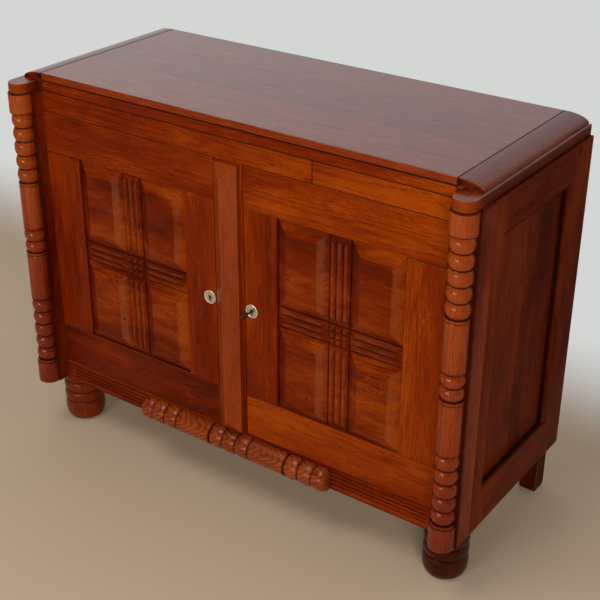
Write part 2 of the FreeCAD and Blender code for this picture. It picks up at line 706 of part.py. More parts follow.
def top_end():
    """Right end board of the top, rounded down to its outer edge."""
    width = TOP_END_WIDTH - TOP_END_FLAT
    ellipse = Part.Ellipse(Vector(TOP_BOARD_EDGE + TOP_END_FLAT, UNDER_TOP_TOP, 0), width, TOP_THICKNESS)
    curve = Part.Arc(ellipse, 0, math.pi / 2).toShape()
    outer = Vector(TOP_BOARD_EDGE + TOP_END_WIDTH, UNDER_TOP_TOP, 0)
    crest = Vector(TOP_BOARD_EDGE + TOP_END_FLAT, TOP_SURFACE, 0)
    corner = Vector(TOP_BOARD_EDGE, TOP_SURFACE - EASE, 0)
    edges = [
        curve,
        Part.makeLine(crest, Vector(TOP_BOARD_EDGE + EASE, TOP_SURFACE, 0)),
        Part.makeLine(Vector(TOP_BOARD_EDGE + EASE, TOP_SURFACE, 0), corner),
        Part.makeLine(corner, Vector(TOP_BOARD_EDGE, UNDER_TOP_TOP, 0)),
        Part.makeLine(Vector(TOP_BOARD_EDGE, UNDER_TOP_TOP, 0), outer),
    ]
    face = Part.Face(Part.Wire(edges))
    face.rotate(Vector(0, 0, 0), Vector(1, 0, 0), 90)
    face.translate(Vector(0, FRONT, 0))
    solid = face.extrude(Vector(0, CASE_DEPTH, 0))
    return solid.cut(box(*grown(top_tongue(TOP_TONGUE_LENGTH + TONGUE_END_ROOM), FIT)))


def front_foot():
    """Right turned front foot, with the spigot that plugs into its block."""
    rings_top = FOOT_RING_BOTTOM + FOOT_RINGS * FOOT_RING_PITCH
    steps = [(FOOT_BULB_HEIGHT, FOOT_RING_RADIUS, FOOT_BULB_SWELL),
             (FOOT_RING_BOTTOM, FOOT_GROOVE_RADIUS, FOOT_SHOULDER_SWELL)]
    steps += bead_steps(FOOT_RING_BOTTOM, FOOT_RINGS, FOOT_RING_PITCH, FOOT_GROOVE_RADIUS, FOOT_RING_RADIUS)
    steps.append((rings_top, FOOT_NECK_RADIUS, None))
    steps.append((FOOT_HEIGHT, FOOT_NECK_RADIUS, None))
    steps.append((FOOT_HEIGHT, FOOT_SPIGOT_RADIUS, None))
    steps.append((SPIGOT_TOP, FOOT_SPIGOT_RADIUS, None))
    solid = turned(0, FOOT_FLOOR_RADIUS, steps)
    solid.translate(Vector(HALF_WIDTH - FOOT_INSET_X, FRONT + FOOT_INSET_Y, 0))
    return solid


def rear_spigot():
    """Limits of the spigot on the right rear foot."""
    middle = REAR_FOOT_EDGE - REAR_FOOT_WIDTH / 2
    half = REAR_SPIGOT_WIDTH / 2
    back = BACK - REAR_SPIGOT_EDGE
    return [middle - half, middle + half, back - REAR_SPIGOT_WIDTH, back, FOOT_HEIGHT, SPIGOT_TOP]


def rear_foot():
    """Right square rear foot, chamfered round the floor."""
    inner = REAR_FOOT_EDGE - REAR_FOOT_WIDTH
    solid = box(inner, REAR_FOOT_EDGE, BACK - REAR_FOOT_WIDTH, BACK, 0, FOOT_HEIGHT)
    floor_edges = [edge for edge in solid.Edges if edge.BoundBox.ZMax < EASE]
    return solid.makeChamfer(REAR_FOOT_CHAMFER, floor_edges).fuse(box(*rear_spigot()))


def foot_blocks():
    """Corner blocks that hold the feet."""
    front = box(SIDE_INNER - BLOCK_WIDTH, SIDE_INNER, FRAME_BACK, FRAME_BACK + BLOCK_DEPTH,
                CASE_BOTTOM, FLOOR_BOTTOM)
    hole = cylinder_z(FOOT_SPIGOT_RADIUS + FIT, HALF_WIDTH - FOOT_INSET_X, FRONT + FOOT_INSET_Y,
                      CASE_BOTTOM, FLOOR_BOTTOM)
    rear = box(SIDE_INNER - BLOCK_WIDTH, SIDE_INNER, BACK_FRONT - BLOCK_DEPTH, BACK_FRONT,
               CASE_BOTTOM, FLOOR_BOTTOM)
    pair = [front.cut(hole), rear.cut(box(*grown(rear_spigot(), FIT)))]
    return Part.makeCompound(pair + [mirrored(block) for block in pair])


def floor_board():
    """Floor of the cabinet, level with the plinth."""
    return board("x", -SIDE_INNER, SIDE_INNER, FRAME_BACK, BACK_FRONT, FLOOR_BOTTOM, FLOOR_TOP)


def shelf():
    """Shelf across the cabinet."""
    edge = SIDE_INNER - SHELF_SIDE_GAP
    return board("x", -edge, edge, FRONT + SHELF_FRONT_SETBACK, BACK_FRONT - SHELF_SIDE_GAP,
                 SHELF_HEIGHT - SHELF_THICKNESS, SHELF_HEIGHT)


def shelf_cleats():
    """Cleats on the sides under the shelf."""
    top = SHELF_HEIGHT - SHELF_THICKNESS
    cleat = board("y", SIDE_INNER - CLEAT_WIDTH, SIDE_INNER, FRONT + CLEAT_FRONT_SETBACK,
                  BACK_FRONT, top - CLEAT_HEIGHT, top)
    return Part.makeCompound([cleat, mirrored(cleat)])


def door_stops():
    """Blocks behind the apron that the closed doors rest against."""
    left = DOOR_INNER + STOP_INSET
    right = left + STOP_WIDTH
    bottom = APRON_BOTTOM - STOP_DROP
    block = box(left, right, FRAME_BACK, FRAME_BACK + STOP_DEPTH, bottom, bottom + STOP_HEIGHT)
    lip = box(left, right, DOOR_BACK, FRAME_BACK, bottom, APRON_BOTTOM)
    stop = block.fuse(lip)
    return Part.makeCompound([stop, mirrored(stop)])


def pivot_bushes():
    """Bushes in the apron and the plinth that the door pins turn in."""
    bushes = []
    for z0, z1 in ((APRON_BOTTOM, APRON_BOTTOM + BUSH_LENGTH), (PLINTH_TOP - BUSH_LENGTH, PLINTH_TOP)):
        bush = cylinder_z(BUSH_RADIUS, PIVOT_X, PIVOT_Y, z0, z1)
        bush = bush.cut(cylinder_z(PIVOT_RADIUS + PIVOT_CLEARANCE, PIVOT_X, PIVOT_Y, z0, z1))
        bushes += [bush, mirrored(bush)]
    return Part.makeCompound(bushes)


def door_pivots():
    """Upper and lower pins of the right door, the lower one with the collar that carries it."""
    upper = cylinder_z(PIVOT_RADIUS, PIVOT_X, PIVOT_Y,
                       DOOR_TOP - PIVOT_SEAT_DEPTH, DOOR_TOP + PIVOT_REACH)
    lower = cylinder_z(PIVOT_RADIUS, PIVOT_X, PIVOT_Y,
                       DOOR_BOTTOM - PIVOT_REACH, DOOR_BOTTOM + PIVOT_SEAT_DEPTH)
    collar = cylinder_z(COLLAR_RADIUS, PIVOT_X, PIVOT_Y, PLINTH_TOP + COLLAR_CLEARANCE, DOOR_BOTTOM)
    return Part.makeCompound([upper, lower.fuse(collar)])


def door_stile_tenons(x0, x1):
    """Limits of the tenons at the two ends of a right door stile."""
    half = TENON_THICKNESS / 2
    sides = [x0 + GROOVE_DEPTH + TENON_SHOULDER, x1 - GROOVE_DEPTH - TENON_SHOULDER,
             DOOR_MIDDLE - half, DOOR_MIDDLE + half]
    upper = sides + [DOOR_OPEN_TOP, DOOR_OPEN_TOP + DOOR_TENON_LENGTH]
    lower = sides + [DOOR_OPEN_BOTTOM - DOOR_TENON_LENGTH, DOOR_OPEN_BOTTOM]
    return upper, lower


DOOR_STILES = {
    "hinge": (DOOR_OPEN_OUTER, DOOR_OUTER),
    "lock": (DOOR_INNER, DOOR_OPEN_INNER),
}


def door_panel_limits(edge):
    """Limits of the right door's panel board, with its edges some way into the frame."""
    return [DOOR_OPEN_INNER - edge, DOOR_OPEN_OUTER + edge, PANEL_FACE, PANEL_FACE + PANEL_THICKNESS,
            DOOR_OPEN_BOTTOM - edge, DOOR_OPEN_TOP + edge]


def door_groove():
    """Room in the door's frame for the panel's edges."""
    limits = door_panel_limits(GROOVE_DEPTH)
    return box(*limits[:2], limits[2] - FIT, limits[3] + FIT, *limits[4:])


def pivot_holes():
    """Holes in the right door for its pins."""
    radius = PIVOT_RADIUS + FIT
    upper = cylinder_z(radius, PIVOT_X, PIVOT_Y, DOOR_TOP - PIVOT_SEAT_DEPTH, DOOR_TOP)
    lower = cylinder_z(radius, PIVOT_X, PIVOT_Y, DOOR_BOTTOM, DOOR_BOTTOM + PIVOT_SEAT_DEPTH)
    return [upper, lower]


def door_rail(z0, z1):
    """Rail across the whole right door, mortised for both stiles."""
    solid = board("x", DOOR_INNER, DOOR_OUTER, FRONT, DOOR_BACK, z0, z1)
    cuts = [door_groove()] + pivot_holes()
    for x0, x1 in DOOR_STILES.values():
        cuts += [box(*grown(limits, FIT)) for limits in door_stile_tenons(x0, x1)]
    return solid.cut(cuts)


def keyhole(y0, y1, radius):
    """Keyhole through a thickness of the right door: a round hole with a slot below it."""
    half = KEYHOLE_SLOT_WIDTH / 2
    slot = box(KEY_X - half, KEY_X + half, y0, y1, KEY_HEIGHT - KEYHOLE_SLOT_DROP, KEY_HEIGHT)
    return cylinder_y(radius, KEY_X, KEY_HEIGHT, y0, y1).fuse(slot)


def lock_limits():
    """Outside of the right lock case, let in flush from the back of the door."""
    return [DOOR_INNER, DOOR_INNER + LOCK_WIDTH, LOCK_FRONT, DOOR_BACK,
            KEY_HEIGHT - LOCK_BELOW_KEY, KEY_HEIGHT + LOCK_ABOVE_KEY]


def door_stile(place):
    """Hinge or lock stile of the right door, tenoned into both rails."""
    x0, x1 = DOOR_STILES[place]
    solid = board("z", x0, x1, FRONT, DOOR_BACK, DOOR_OPEN_BOTTOM, DOOR_OPEN_TOP)
    solid = solid.fuse([box(*limits) for limits in door_stile_tenons(x0, x1)])
    solid = solid.cut(door_groove())
    if place == "lock":
        lock = lock_limits()
        pocket = box(lock[0], lock[1] + FIT, *lock[2:4], *grown(lock, FIT)[4:])
        solid = solid.cut([pocket, keyhole(FRONT, LOCK_FRONT, KEYHOLE_WOOD_RADIUS)])
    return solid


def raised(x0, x1, z0, z1, rise, bevel):
    """Raised block on the panel, bevelled on all four sides."""
    top = PANEL_FACE - rise
    first = [Vector(x0, PANEL_FACE, z0), Vector(x1, PANEL_FACE, z0),
             Vector(x1, PANEL_FACE, z1), Vector(x0, PANEL_FACE, z1)]
    second = [Vector(x0 + bevel, top, z0 + bevel), Vector(x1 - bevel, top, z0 + bevel),
              Vector(x1 - bevel, top, z1 - bevel), Vector(x0 + bevel, top, z1 - bevel)]
    return tapered(first, second)


def spread(first, last, count):
    """Equal spans between two places, each narrowed by the valley between neighbours."""
    step = (last - first) / count
    half = REED_VALLEY / 2
    return [(first + index * step + half, first + (index + 1) * step - half) for index in range(count)]


def door_panel():
    """Carved panel of the right door: four raised fields and a cross of reeds."""
    board_limits = door_panel_limits(GROOVE_DEPTH - TONGUE_END_ROOM)
    middle_x = (DOOR_OPEN_INNER + DOOR_OPEN_OUTER) / 2
    middle_z = (DOOR_OPEN_BOTTOM + DOOR_OPEN_TOP) / 2
    band_x = (middle_x - REED_BAND_WIDTH / 2, middle_x + REED_BAND_WIDTH / 2)
    band_z = (middle_z - REED_BAND_HEIGHT / 2, middle_z + REED_BAND_HEIGHT / 2)
    columns = ((DOOR_OPEN_INNER, band_x[0]), (band_x[1], DOOR_OPEN_OUTER))
    rows = ((DOOR_OPEN_BOTTOM, band_z[0]), (band_z[1], DOOR_OPEN_TOP))
    half = REED_VALLEY / 2
    blocks = []
    for x0, x1 in columns:
        for z0, z1 in rows:
            blocks.append(raised(x0 + half, x1 - half, z0 + half, z1 - half, FIELD_RISE, FIELD_BEVEL))
    upright = spread(*band_x, REED_COUNT)
    level = spread(*band_z, REED_COUNT)
    for x0, x1 in upright:
        for z0, z1 in rows:
            blocks.append(raised(x0, x1, z0 + half, z1 - half, REED_RISE, REED_BEVEL))
        for z0, z1 in level:
            blocks.append(raised(x0, x1, z0, z1, REED_RISE, REED_BEVEL))
    for z0, z1 in level:
        for x0, x1 in columns:
            blocks.append(raised(x0 + half, x1 - half, z0, z1, REED_RISE, REED_BEVEL))
    return box(*board_limits).fuse(blocks).removeSplitter()


def escutcheon():
    """Round keyhole plate of the right door."""
    front = FRONT - ESCUTCHEON_THICKNESS
    disc = cylinder_y(ESCUTCHEON_RADIUS, KEY_X, KEY_HEIGHT, front, FRONT)
    rim = [edge for edge in disc.Edges if edge.Closed and edge.BoundBox.YMax < FRONT - EASE]
    disc = disc.makeChamfer(ESCUTCHEON_EASE, rim)
    dish_radius = ESCUTCHEON_RADIUS - ESCUTCHEON_RIM_WIDTH
    disc = disc.cut(cylinder_y(dish_radius, KEY_X, KEY_HEIGHT, front, front + ESCUTCHEON_DISH_DEPTH))
    return disc.cut(keyhole(front, FRONT, SHANK_RADIUS + SHANK_CLEARANCE))


def lock_case():
    """Right lock case: a tray that the wood closes, with a slot for the bolt."""
    lock = lock_limits()
    inside = grown(lock, -LOCK_WALL)
    tray = box(*lock).cut(box(*inside[:2], lock[2], inside[3], *inside[4:]))
    slot = grown(bolt_limits(), BOLT_CLEARANCE)
    return tray.cut(box(lock[0], lock[0] + LOCK_WALL, *slot[2:]))


def bolt():
    """Right lock bolt."""
    return box(*bolt_limits())


def oval_bar(length, height, thickness):
    """Oval block across the key, centred on the bow."""
    ellipse = Part.Ellipse(Vector(0, 0, 0), length / 2, height / 2)
    bar = Part.Face(Part.Wire(ellipse.toShape())).extrude(Vector(0, 0, thickness))
    bar.translate(Vector(0, 0, -thickness / 2))
    bar.rotate(Vector(0, 0, 0), Vector(0, 0, 1), 90)
    bar.rotate(Vector(0, 0, 0), Vector(0, 1, 0), 90)
    bar.translate(Vector(KEY_X, FRONT - SHANK_FRONT + BOW_WALL / 2 - BOW_LENGTH / 2, KEY_HEIGHT))
    return bar


def key_bow():
    """Oval ring of the key."""
    hole = oval_bar(BOW_LENGTH - 2 * BOW_WALL, BOW_HEIGHT - 2 * BOW_WALL, 2 * BOW_THICKNESS)
    return oval_bar(BOW_LENGTH, BOW_HEIGHT, BOW_THICKNESS).cut(hole)


def key():
    """Key of the right door, standing in its lock with the bit down."""
    shank = cylinder_y(SHANK_RADIUS, KEY_X, KEY_HEIGHT, FRONT - SHANK_FRONT, FRONT + SHANK_BACK)
    collar_back = FRONT - ESCUTCHEON_THICKNESS - KEY_COLLAR_GAP
    collar = cylinder_y(KEY_COLLAR_RADIUS, KEY_X, KEY_HEIGHT, collar_back - KEY_COLLAR_LENGTH, collar_back)
    half = BIT_THICKNESS / 2
    back = FRONT + SHANK_BACK
    bit = box(KEY_X - half, KEY_X + half, back - BIT_WIDTH, back, KEY_HEIGHT - BIT_LENGTH, KEY_HEIGHT)
    return shank.fuse([collar, bit, key_bow()])


def paired(name, solid):
    """A right-hand piece and its mirror image, under their node names."""
    return {name + "_left": mirrored(solid), name + "_right": solid}


def door_nodes():
    """Both doors, piece by piece."""
    right = {
        "top_rail": door_rail(DOOR_OPEN_TOP, DOOR_TOP),
        "bottom_rail": door_rail(DOOR_BOTTOM, DOOR_OPEN_BOTTOM),
        "hinge_stile": door_stile("hinge"),
        "lock_stile": door_stile("lock"),
        "panel": door_panel(),
        "pivots": door_pivots(),
        "escutcheon": escutcheon(),
        "lock_case": lock_case(),
        "bolt": bolt(),
    }
    nodes = {}
    for name, solid in right.items():
        nodes["left_door_" + name] = mirrored(solid)
        nodes["right_door_" + name] = solid
    return nodes


def all_nodes():
    """Every piece under its node name."""
    nodes = {
        "top_board": top_board(),
        "under_top_front": under_top_front(),
        "apron": apron(),
        "plinth_rail": plinth_rail(),
        "turned_moulding": turned_moulding(),
        "centre_post": centre_post(),
        "centre_moulding": centre_moulding(),
        "strike_plates": strike_plates(),
        "pivot_bushes": pivot_bushes(),
        "door_stops": door_stops(),
        "floor_board": floor_board(),
        "foot_blocks": foot_blocks(),
        "shelf": shelf(),
        "shelf_cleats": shelf_cleats(),
        "back_top_rail": back_rail("top"),
        "back_bottom_rail": back_rail("bottom"),
        "back_stile": back_stile(),
        "back_panels": back_panels(),
        "key": key(),
    }
    nodes.update(paired("top_end", top_end()))
    nodes.update(paired("under_top_side", under_top_side()))
    nodes.update(paired("column", column()))
    nodes.update(paired("front_stile", front_stile()))
    nodes.update(paired("side_front_stile", side_stile(FRAME_BACK, SIDE_OPEN_FRONT)))
    nodes.update(paired("side_rear_stile", side_rear_stile()))
    nodes.update(paired("side_top_rail", side_rail("top")))
    nodes.update(paired("side_bottom_rail", side_rail("bottom")))
    nodes.update(paired("side_panel", side_panel()))
    nodes.update(paired("front_foot", front_foot()))
    nodes.update(paired("rear_foot", rear_foot()))
    nodes.update(door_nodes())
    return nodes


def main():
    """Writes every piece as its own file."""
    os.makedirs("parts", exist_ok=True)
    for name, shape in all_nodes().items():
        shape.exportStep(os.path.join("parts", name + ".step"))
        print(name, len(shape.Solids), round(shape.Volume), shape.isValid())


main()
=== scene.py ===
"""Polished oak buffet cabinet with two carved doors, engaged turned columns and turned feet.

The visible wood is built as numpy surfaces that stand for the plain CAD nodes, and the nodes with
mitred bevels, mortises or lock pockets are shown as they are. Lengths are in metres.
"""
import logging
import math
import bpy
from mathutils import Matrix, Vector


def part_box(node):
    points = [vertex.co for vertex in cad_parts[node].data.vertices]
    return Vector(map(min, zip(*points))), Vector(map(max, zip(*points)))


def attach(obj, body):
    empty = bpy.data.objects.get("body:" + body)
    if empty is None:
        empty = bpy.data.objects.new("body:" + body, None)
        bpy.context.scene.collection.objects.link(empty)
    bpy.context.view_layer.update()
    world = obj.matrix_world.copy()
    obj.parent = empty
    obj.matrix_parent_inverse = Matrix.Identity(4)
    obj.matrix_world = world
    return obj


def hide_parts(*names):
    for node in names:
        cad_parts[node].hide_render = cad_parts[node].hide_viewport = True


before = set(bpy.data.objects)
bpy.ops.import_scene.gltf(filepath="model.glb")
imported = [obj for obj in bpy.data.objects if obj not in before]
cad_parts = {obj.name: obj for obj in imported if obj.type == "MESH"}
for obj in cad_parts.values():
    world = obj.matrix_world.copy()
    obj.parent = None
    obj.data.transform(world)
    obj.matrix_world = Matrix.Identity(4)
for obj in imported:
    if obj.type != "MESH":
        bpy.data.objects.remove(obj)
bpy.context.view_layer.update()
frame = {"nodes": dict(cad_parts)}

import zlib
from dataclasses import dataclass, field
from enum import Enum
from typing import Any, Callable, Dict, List, NamedTuple, Optional, Sequence, Tuple, Union

import bpy
import numpy as np
from mathutils import Matrix

LOG = logging.getLogger("buffet")

Array = np.ndarray
Colour = Tuple[float, float, float]
Number = Union[float, "Value"]
Values = Union[float, Array]
Range = Tuple[float, float]
Block = Tuple[float, float, float, float]

QUARTER_TURN = math.pi / 2.0
TURNED_CREASE = 44.0
FRONT = float(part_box("apron")[0].y)
CASE_BOTTOM = float(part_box("front_stile_right")[0].z)
CASE_TOP = float(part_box("front_stile_right")[1].z)
STILE_FRONT = float(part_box("front_stile_right")[0].y)


class Axis(Enum):
    """The three directions of the shared frame."""

    X = 0
    Y = 1
    Z = 2

    def placed(self, along: Array, first: Array, second: Array) -> Array:
        """Points from their places along this direction and in the two others, in their order."""
        parts = [first, second]
        parts.insert(self.value, along)
        return np.stack(np.broadcast_arrays(*parts), -1)


class Side(Enum):
    """Left or right of the middle plane, with the sign of its x."""

    LEFT = -1
    RIGHT = 1

    @property
    def word(self) -> str:
        """The side's name as it stands in node names."""
        return self.name.lower()

    @property
    def door(self) -> str:
        """The CAD body of the side's door."""
        return f"{self.word}_door"


class Slot(Enum):
    """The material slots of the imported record."""

    OAK = "oak"
    NICKEL = "nickel"
    IRON = "iron"
    STEEL = "steel"


class Pattern(Enum):
    """Noises in the finishes: waves per metre each way, detail and bend.

    The ways are along, across and through the tree in oak, and those of the shared frame in metal.
    """

    WANDER = ((1.6, 7.0, 7.0), 2.0, 0.0)
    RIPPLE = ((16.0, 42.0, 42.0), 2.0, 0.0)
    FIBRE = ((15.0, 320.0, 320.0), 3.0, 0.0)
    CLOUD = ((2.2, 9.0, 9.0), 3.0, 0.4)
    BLOTCH = ((11.0, 38.0, 38.0), 2.0, 0.6)
    STREAK = ((55.0, 620.0, 620.0), 2.0, 0.0)
    CURL = ((24.0, 84.0, 84.0), 2.0, 0.5)
    RAY = ((7.0, 12.0, 12.0), 1.0, 0.0)
    PATCH = ((40.0, 60.0, 60.0), 2.0, 0.0)
    TARNISH = ((160.0, 160.0, 160.0), 4.0, 0.5)
    SPECK = ((900.0, 900.0, 900.0), 2.0, 0.0)
    SCRATCH = ((2600.0, 300.0, 240.0), 2.0, 0.0)
    FLOOR = ((1.3, 1.3, 1.3), 3.0, 0.0)


def smooth_step(low: float, high: float, value: Array) -> Array:
    """Rises from 0 at low to 1 at high along a cubic that is level at both ends.

    Args:
        low: Where the rise starts.
        high: Where the rise ends; it may be under low, for a fall.
        value: The places to work it out at.

    Returns:
        The cubic at each place, between 0 and 1.
    """
    share = np.clip((value - low) / (high - low), 0.0, 1.0)
    return share * share * (3.0 - 2.0 * share)


def soft_min(first: Array, second: Array, blend: float) -> Array:
    """The smaller of two values, with the corner between them rounded over a blend.

    Args:
        first: One set of values.
        second: The other set.
        blend: Width over which the two are joined by a parabola.

    Returns:
        The smaller value, lowered a little where both are near each other.
    """
    share = np.clip(0.5 + 0.5 * (second - first) / blend, 0.0, 1.0)
    return second * (1.0 - share) + first * share - blend * share * (1.0 - share)


def rectangle(low: Sequence[float], high: Sequence[float]) -> List[Range]:
    """The four corners of a rectangle, from its lowest one round it."""
    return [(low[0], low[1]), (high[0], low[1]), (high[0], high[1]), (low[0], high[1])]


def room_inside(first: Array, second: Array, block: Block) -> Array:
    """Distance of places to the nearest edge of a block given by its lowest and highest values each way."""
    a0, a1, b0, b1 = block
    return np.minimum(np.minimum(first - a0, a1 - first), np.minimum(second - b0, b1 - second))


class Skin(NamedTuple):
    """A closed surface of rings that follow each other, with the dirt and painted shade and the wear and
    painted sheen at its points.
    """

    rings: Array
    soil: Array
    worn: Array


@dataclass(frozen=True)
class Limits:
    """Lowest and highest corner of a piece."""

    low: Array
    high: Array

    @classmethod
    def of(cls, node: str) -> "Limits":
        """Limits of a CAD node at rest."""
        low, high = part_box(node)
        return cls(np.array(low), np.array(high))

    @property
    def middle(self) -> Array:
        """Centre of the limits."""
        return (self.low + self.high) / 2.0

    def trimmed(self, axis: Axis, low_by: float, high_by: float) -> "Limits":
        """The limits drawn in along one axis.

        Args:
            axis: Direction that is shortened.
            low_by: How much comes off at the low end.
            high_by: How much comes off at the high end.

        Returns:
            New limits.
        """
        low, high = self.low.copy(), self.high.copy()
        low[axis.value] += low_by
        high[axis.value] -= high_by
        return Limits(low, high)


@dataclass(frozen=True)
class Timber:
    """How the wood of one piece lies: its fibres, its face, its heart and its shade."""

    label: str
    along: Axis
    face: Axis
    heart_depth: float = 0.055
    heart_shift: float = 0.0
    tone: float = 0.0
    fade: float = 0.0
    stretch: float = 7.0
    spread: float = 0.03
    depth_spread: float = 0.3

    @property
    def order(self) -> Tuple[int, int, int]:
        """Axes in the order along, across and through the board."""
        across = 3 - self.along.value - self.face.value
        return self.along.value, across, self.face.value

    def offset(self, middle: Array) -> Array:
        """Shift that puts the heart of the tree at the origin and a new stretch of wood on each piece.

        Args:
            middle: Centre of the piece.

        Returns:
            Shift along, across and through the board.
        """
        draw = np.random.default_rng(zlib.crc32(self.label.encode())).uniform(-1.0, 1.0, 3)
        _, across, through = self.order
        return np.array([
            self.stretch * draw[0],
            self.heart_shift + self.spread * draw[1] - middle[across],
            self.heart_depth * (1.0 + self.depth_spread * draw[2]) - middle[through],
        ])

    def coordinates(self, points: Array, middle: Array) -> Array:
        """Places in the tree of points on the piece, along, across and through."""
        return points[..., list(self.order)] + self.offset(middle)

    def shades(self, points: Array, middle: Array) -> Array:
        """Shade at points on the piece, which changes evenly along the fibres."""
        return self.tone + self.fade * (points[:, self.along.value] - middle[self.along.value])


def math_operator(operation: str, reflected: bool = False) -> Callable[["Value", Number], "Value"]:
    """An operator of shader values, as one Math node.

    Args:
        operation: Blender's name of the operation.
        reflected: True where the value stands on the right of the operator.

    Returns:
        The method of the operator.
    """
    def method(value: "Value", other: Number) -> "Value":
        """Adds the Math node."""
        pair = (other, value) if reflected else (value, other)
        return value.graph.math(operation, *pair)

    return method


class Value:
    """A shader value: one output socket, whose arithmetic adds Math nodes."""

    __add__ = __radd__ = math_operator("ADD")
    __mul__ = __rmul__ = math_operator("MULTIPLY")
    __sub__ = math_operator("SUBTRACT")
    __rsub__ = math_operator("SUBTRACT", True)
    __truediv__ = math_operator("DIVIDE")
    __rtruediv__ = math_operator("DIVIDE", True)
    __pow__ = math_operator("POWER")

    def __init__(self, graph: "Graph", socket: Any) -> None:
        """Wraps a socket of a graph."""
        self.graph = graph
        self.socket = socket


class Graph:
    """One node tree under construction."""

    def __init__(self, tree: bpy.types.NodeTree) -> None:
        """Starts from an emptied tree."""
        self.tree = tree
        tree.nodes.clear()

    def node(self, kind: str, settings: Optional[Dict[str, Any]] = None,
             inputs: Optional[Dict[Any, Any]] = None, output: Union[int, str] = 0) -> Value:
        """Adds one node.

        Args:
            kind: Blender's type name of the node.
            settings: Properties that are set first.
            inputs: Numbers, colours or values for its sockets, by name or index.
            output: Which output is handed back.

        Returns:
            The wrapped output.
        """
        made = self.tree.nodes.new(kind)
        for key, setting in (settings or {}).items():
            setattr(made, key, setting)
        for key, given in (inputs or {}).items():
            if isinstance(given, Value):
                self.tree.links.new(given.socket, made.inputs[key])
            else:
                made.inputs[key].default_value = given
        return Value(self, made.outputs[output] if made.outputs else None)

    def field(self, name: str, output: str = "Fac") -> Value:
        """A field that the piece's mesh carries."""
        return self.node("ShaderNodeAttribute", {"attribute_name": name}, output=output)

    def split(self, vector: Value) -> List[Value]:
        """The three parts of a vector."""
        made = self.node("ShaderNodeSeparateXYZ", inputs={0: vector}).socket.node
        return [Value(self, socket) for socket in made.outputs]

    def joined(self, parts: Sequence[Number]) -> Value:
        """A vector from three parts."""
        return self.node("ShaderNodeCombineXYZ", inputs=dict(enumerate(parts)))

    def noise(self, vector: Value, pattern: Pattern) -> Value:
        """Cloudy noise of 0 to 1 on a vector that is first scaled to the pattern's waves."""
        waves, detail, bend = pattern.value
        return self.node("ShaderNodeTexNoise", inputs={
            "Vector": self.node("ShaderNodeVectorMath", {"operation": "MULTIPLY"}, {0: vector, 1: waves}),
            "Scale": 1.0, "Detail": detail, "Distortion": bend})

    def math(self, operation: str, *values: Number) -> Value:
        """One Math node on its values."""
        return self.node("ShaderNodeMath", {"operation": operation}, dict(enumerate(values)))

    def rise(self, value: Value, low: float, high: float) -> Value:
        """Rises smoothly from 0 to 1 between two values."""
        return self.node("ShaderNodeMapRange", {"interpolation_type": "SMOOTHSTEP"}, {
            "Value": value, "From Min": low, "From Max": high})

    def ramp(self, value: Value, stops: Sequence[Tuple[float, Colour]]) -> Value:
        """A colour read off a ramp.

        Args:
            value: Where it is read.
            stops: The ramp's places and colours.

        Returns:
            The colour.
        """
        made = self.node("ShaderNodeValToRGB", inputs={0: value}, output="Color")
        elements = made.socket.node.color_ramp.elements
        while len(elements) < len(stops):
            elements.new(1.0)
        for element, (place, colour) in zip(elements, stops):
            element.position = place
            element.color = (*colour, 1.0)
        return made

    def mixed(self, share: Number, first: Any, second: Any) -> Value:
        """Two colours or values mixed by the second one's share from 0 to 1."""
        sides = [(*side, 1.0) if isinstance(side, tuple) else side for side in (first, second)]
        return self.node("ShaderNodeMix", {"data_type": "RGBA"}, {0: share, 6: sides[0], 7: sides[1]}, 2)

    def seen_rays(self, mirrored: Number) -> Value:
        """1 on camera rays, a share of it on mirrored and transmitted rays, and 0 on all others."""
        camera, glossy, through = [self.node("ShaderNodeLightPath", output=f"Is {kind} Ray")
                                   for kind in ("Camera", "Glossy", "Transmission")]
        return self.math("MINIMUM", camera + (glossy + through) * mirrored, 1.0)

    def surface(self, inputs: Dict[str, Any], height: Optional[Value] = None) -> None:
        """Closes the tree with a principled surface.

        Args:
            inputs: Numbers, colours or values of the surface's sockets.
            height: Relief in metres that bends the normals.
        """
        given = dict(inputs)
        if height is not None:
            given["Normal"] = self.node("ShaderNodeBump", inputs={
                "Height": height, "Strength": 1.0, "Distance": 1.0})
        shader = self.node("ShaderNodeBsdfPrincipled", inputs=given)
        self.node("ShaderNodeOutputMaterial", inputs={"Surface": shader})


def new_graph(name: str) -> Tuple[bpy.types.Material, Graph]:
    """A new material and the graph that fills it."""
    material = bpy.data.materials.new(name)
    material.use_nodes = True
    return material, Graph(material.node_tree)


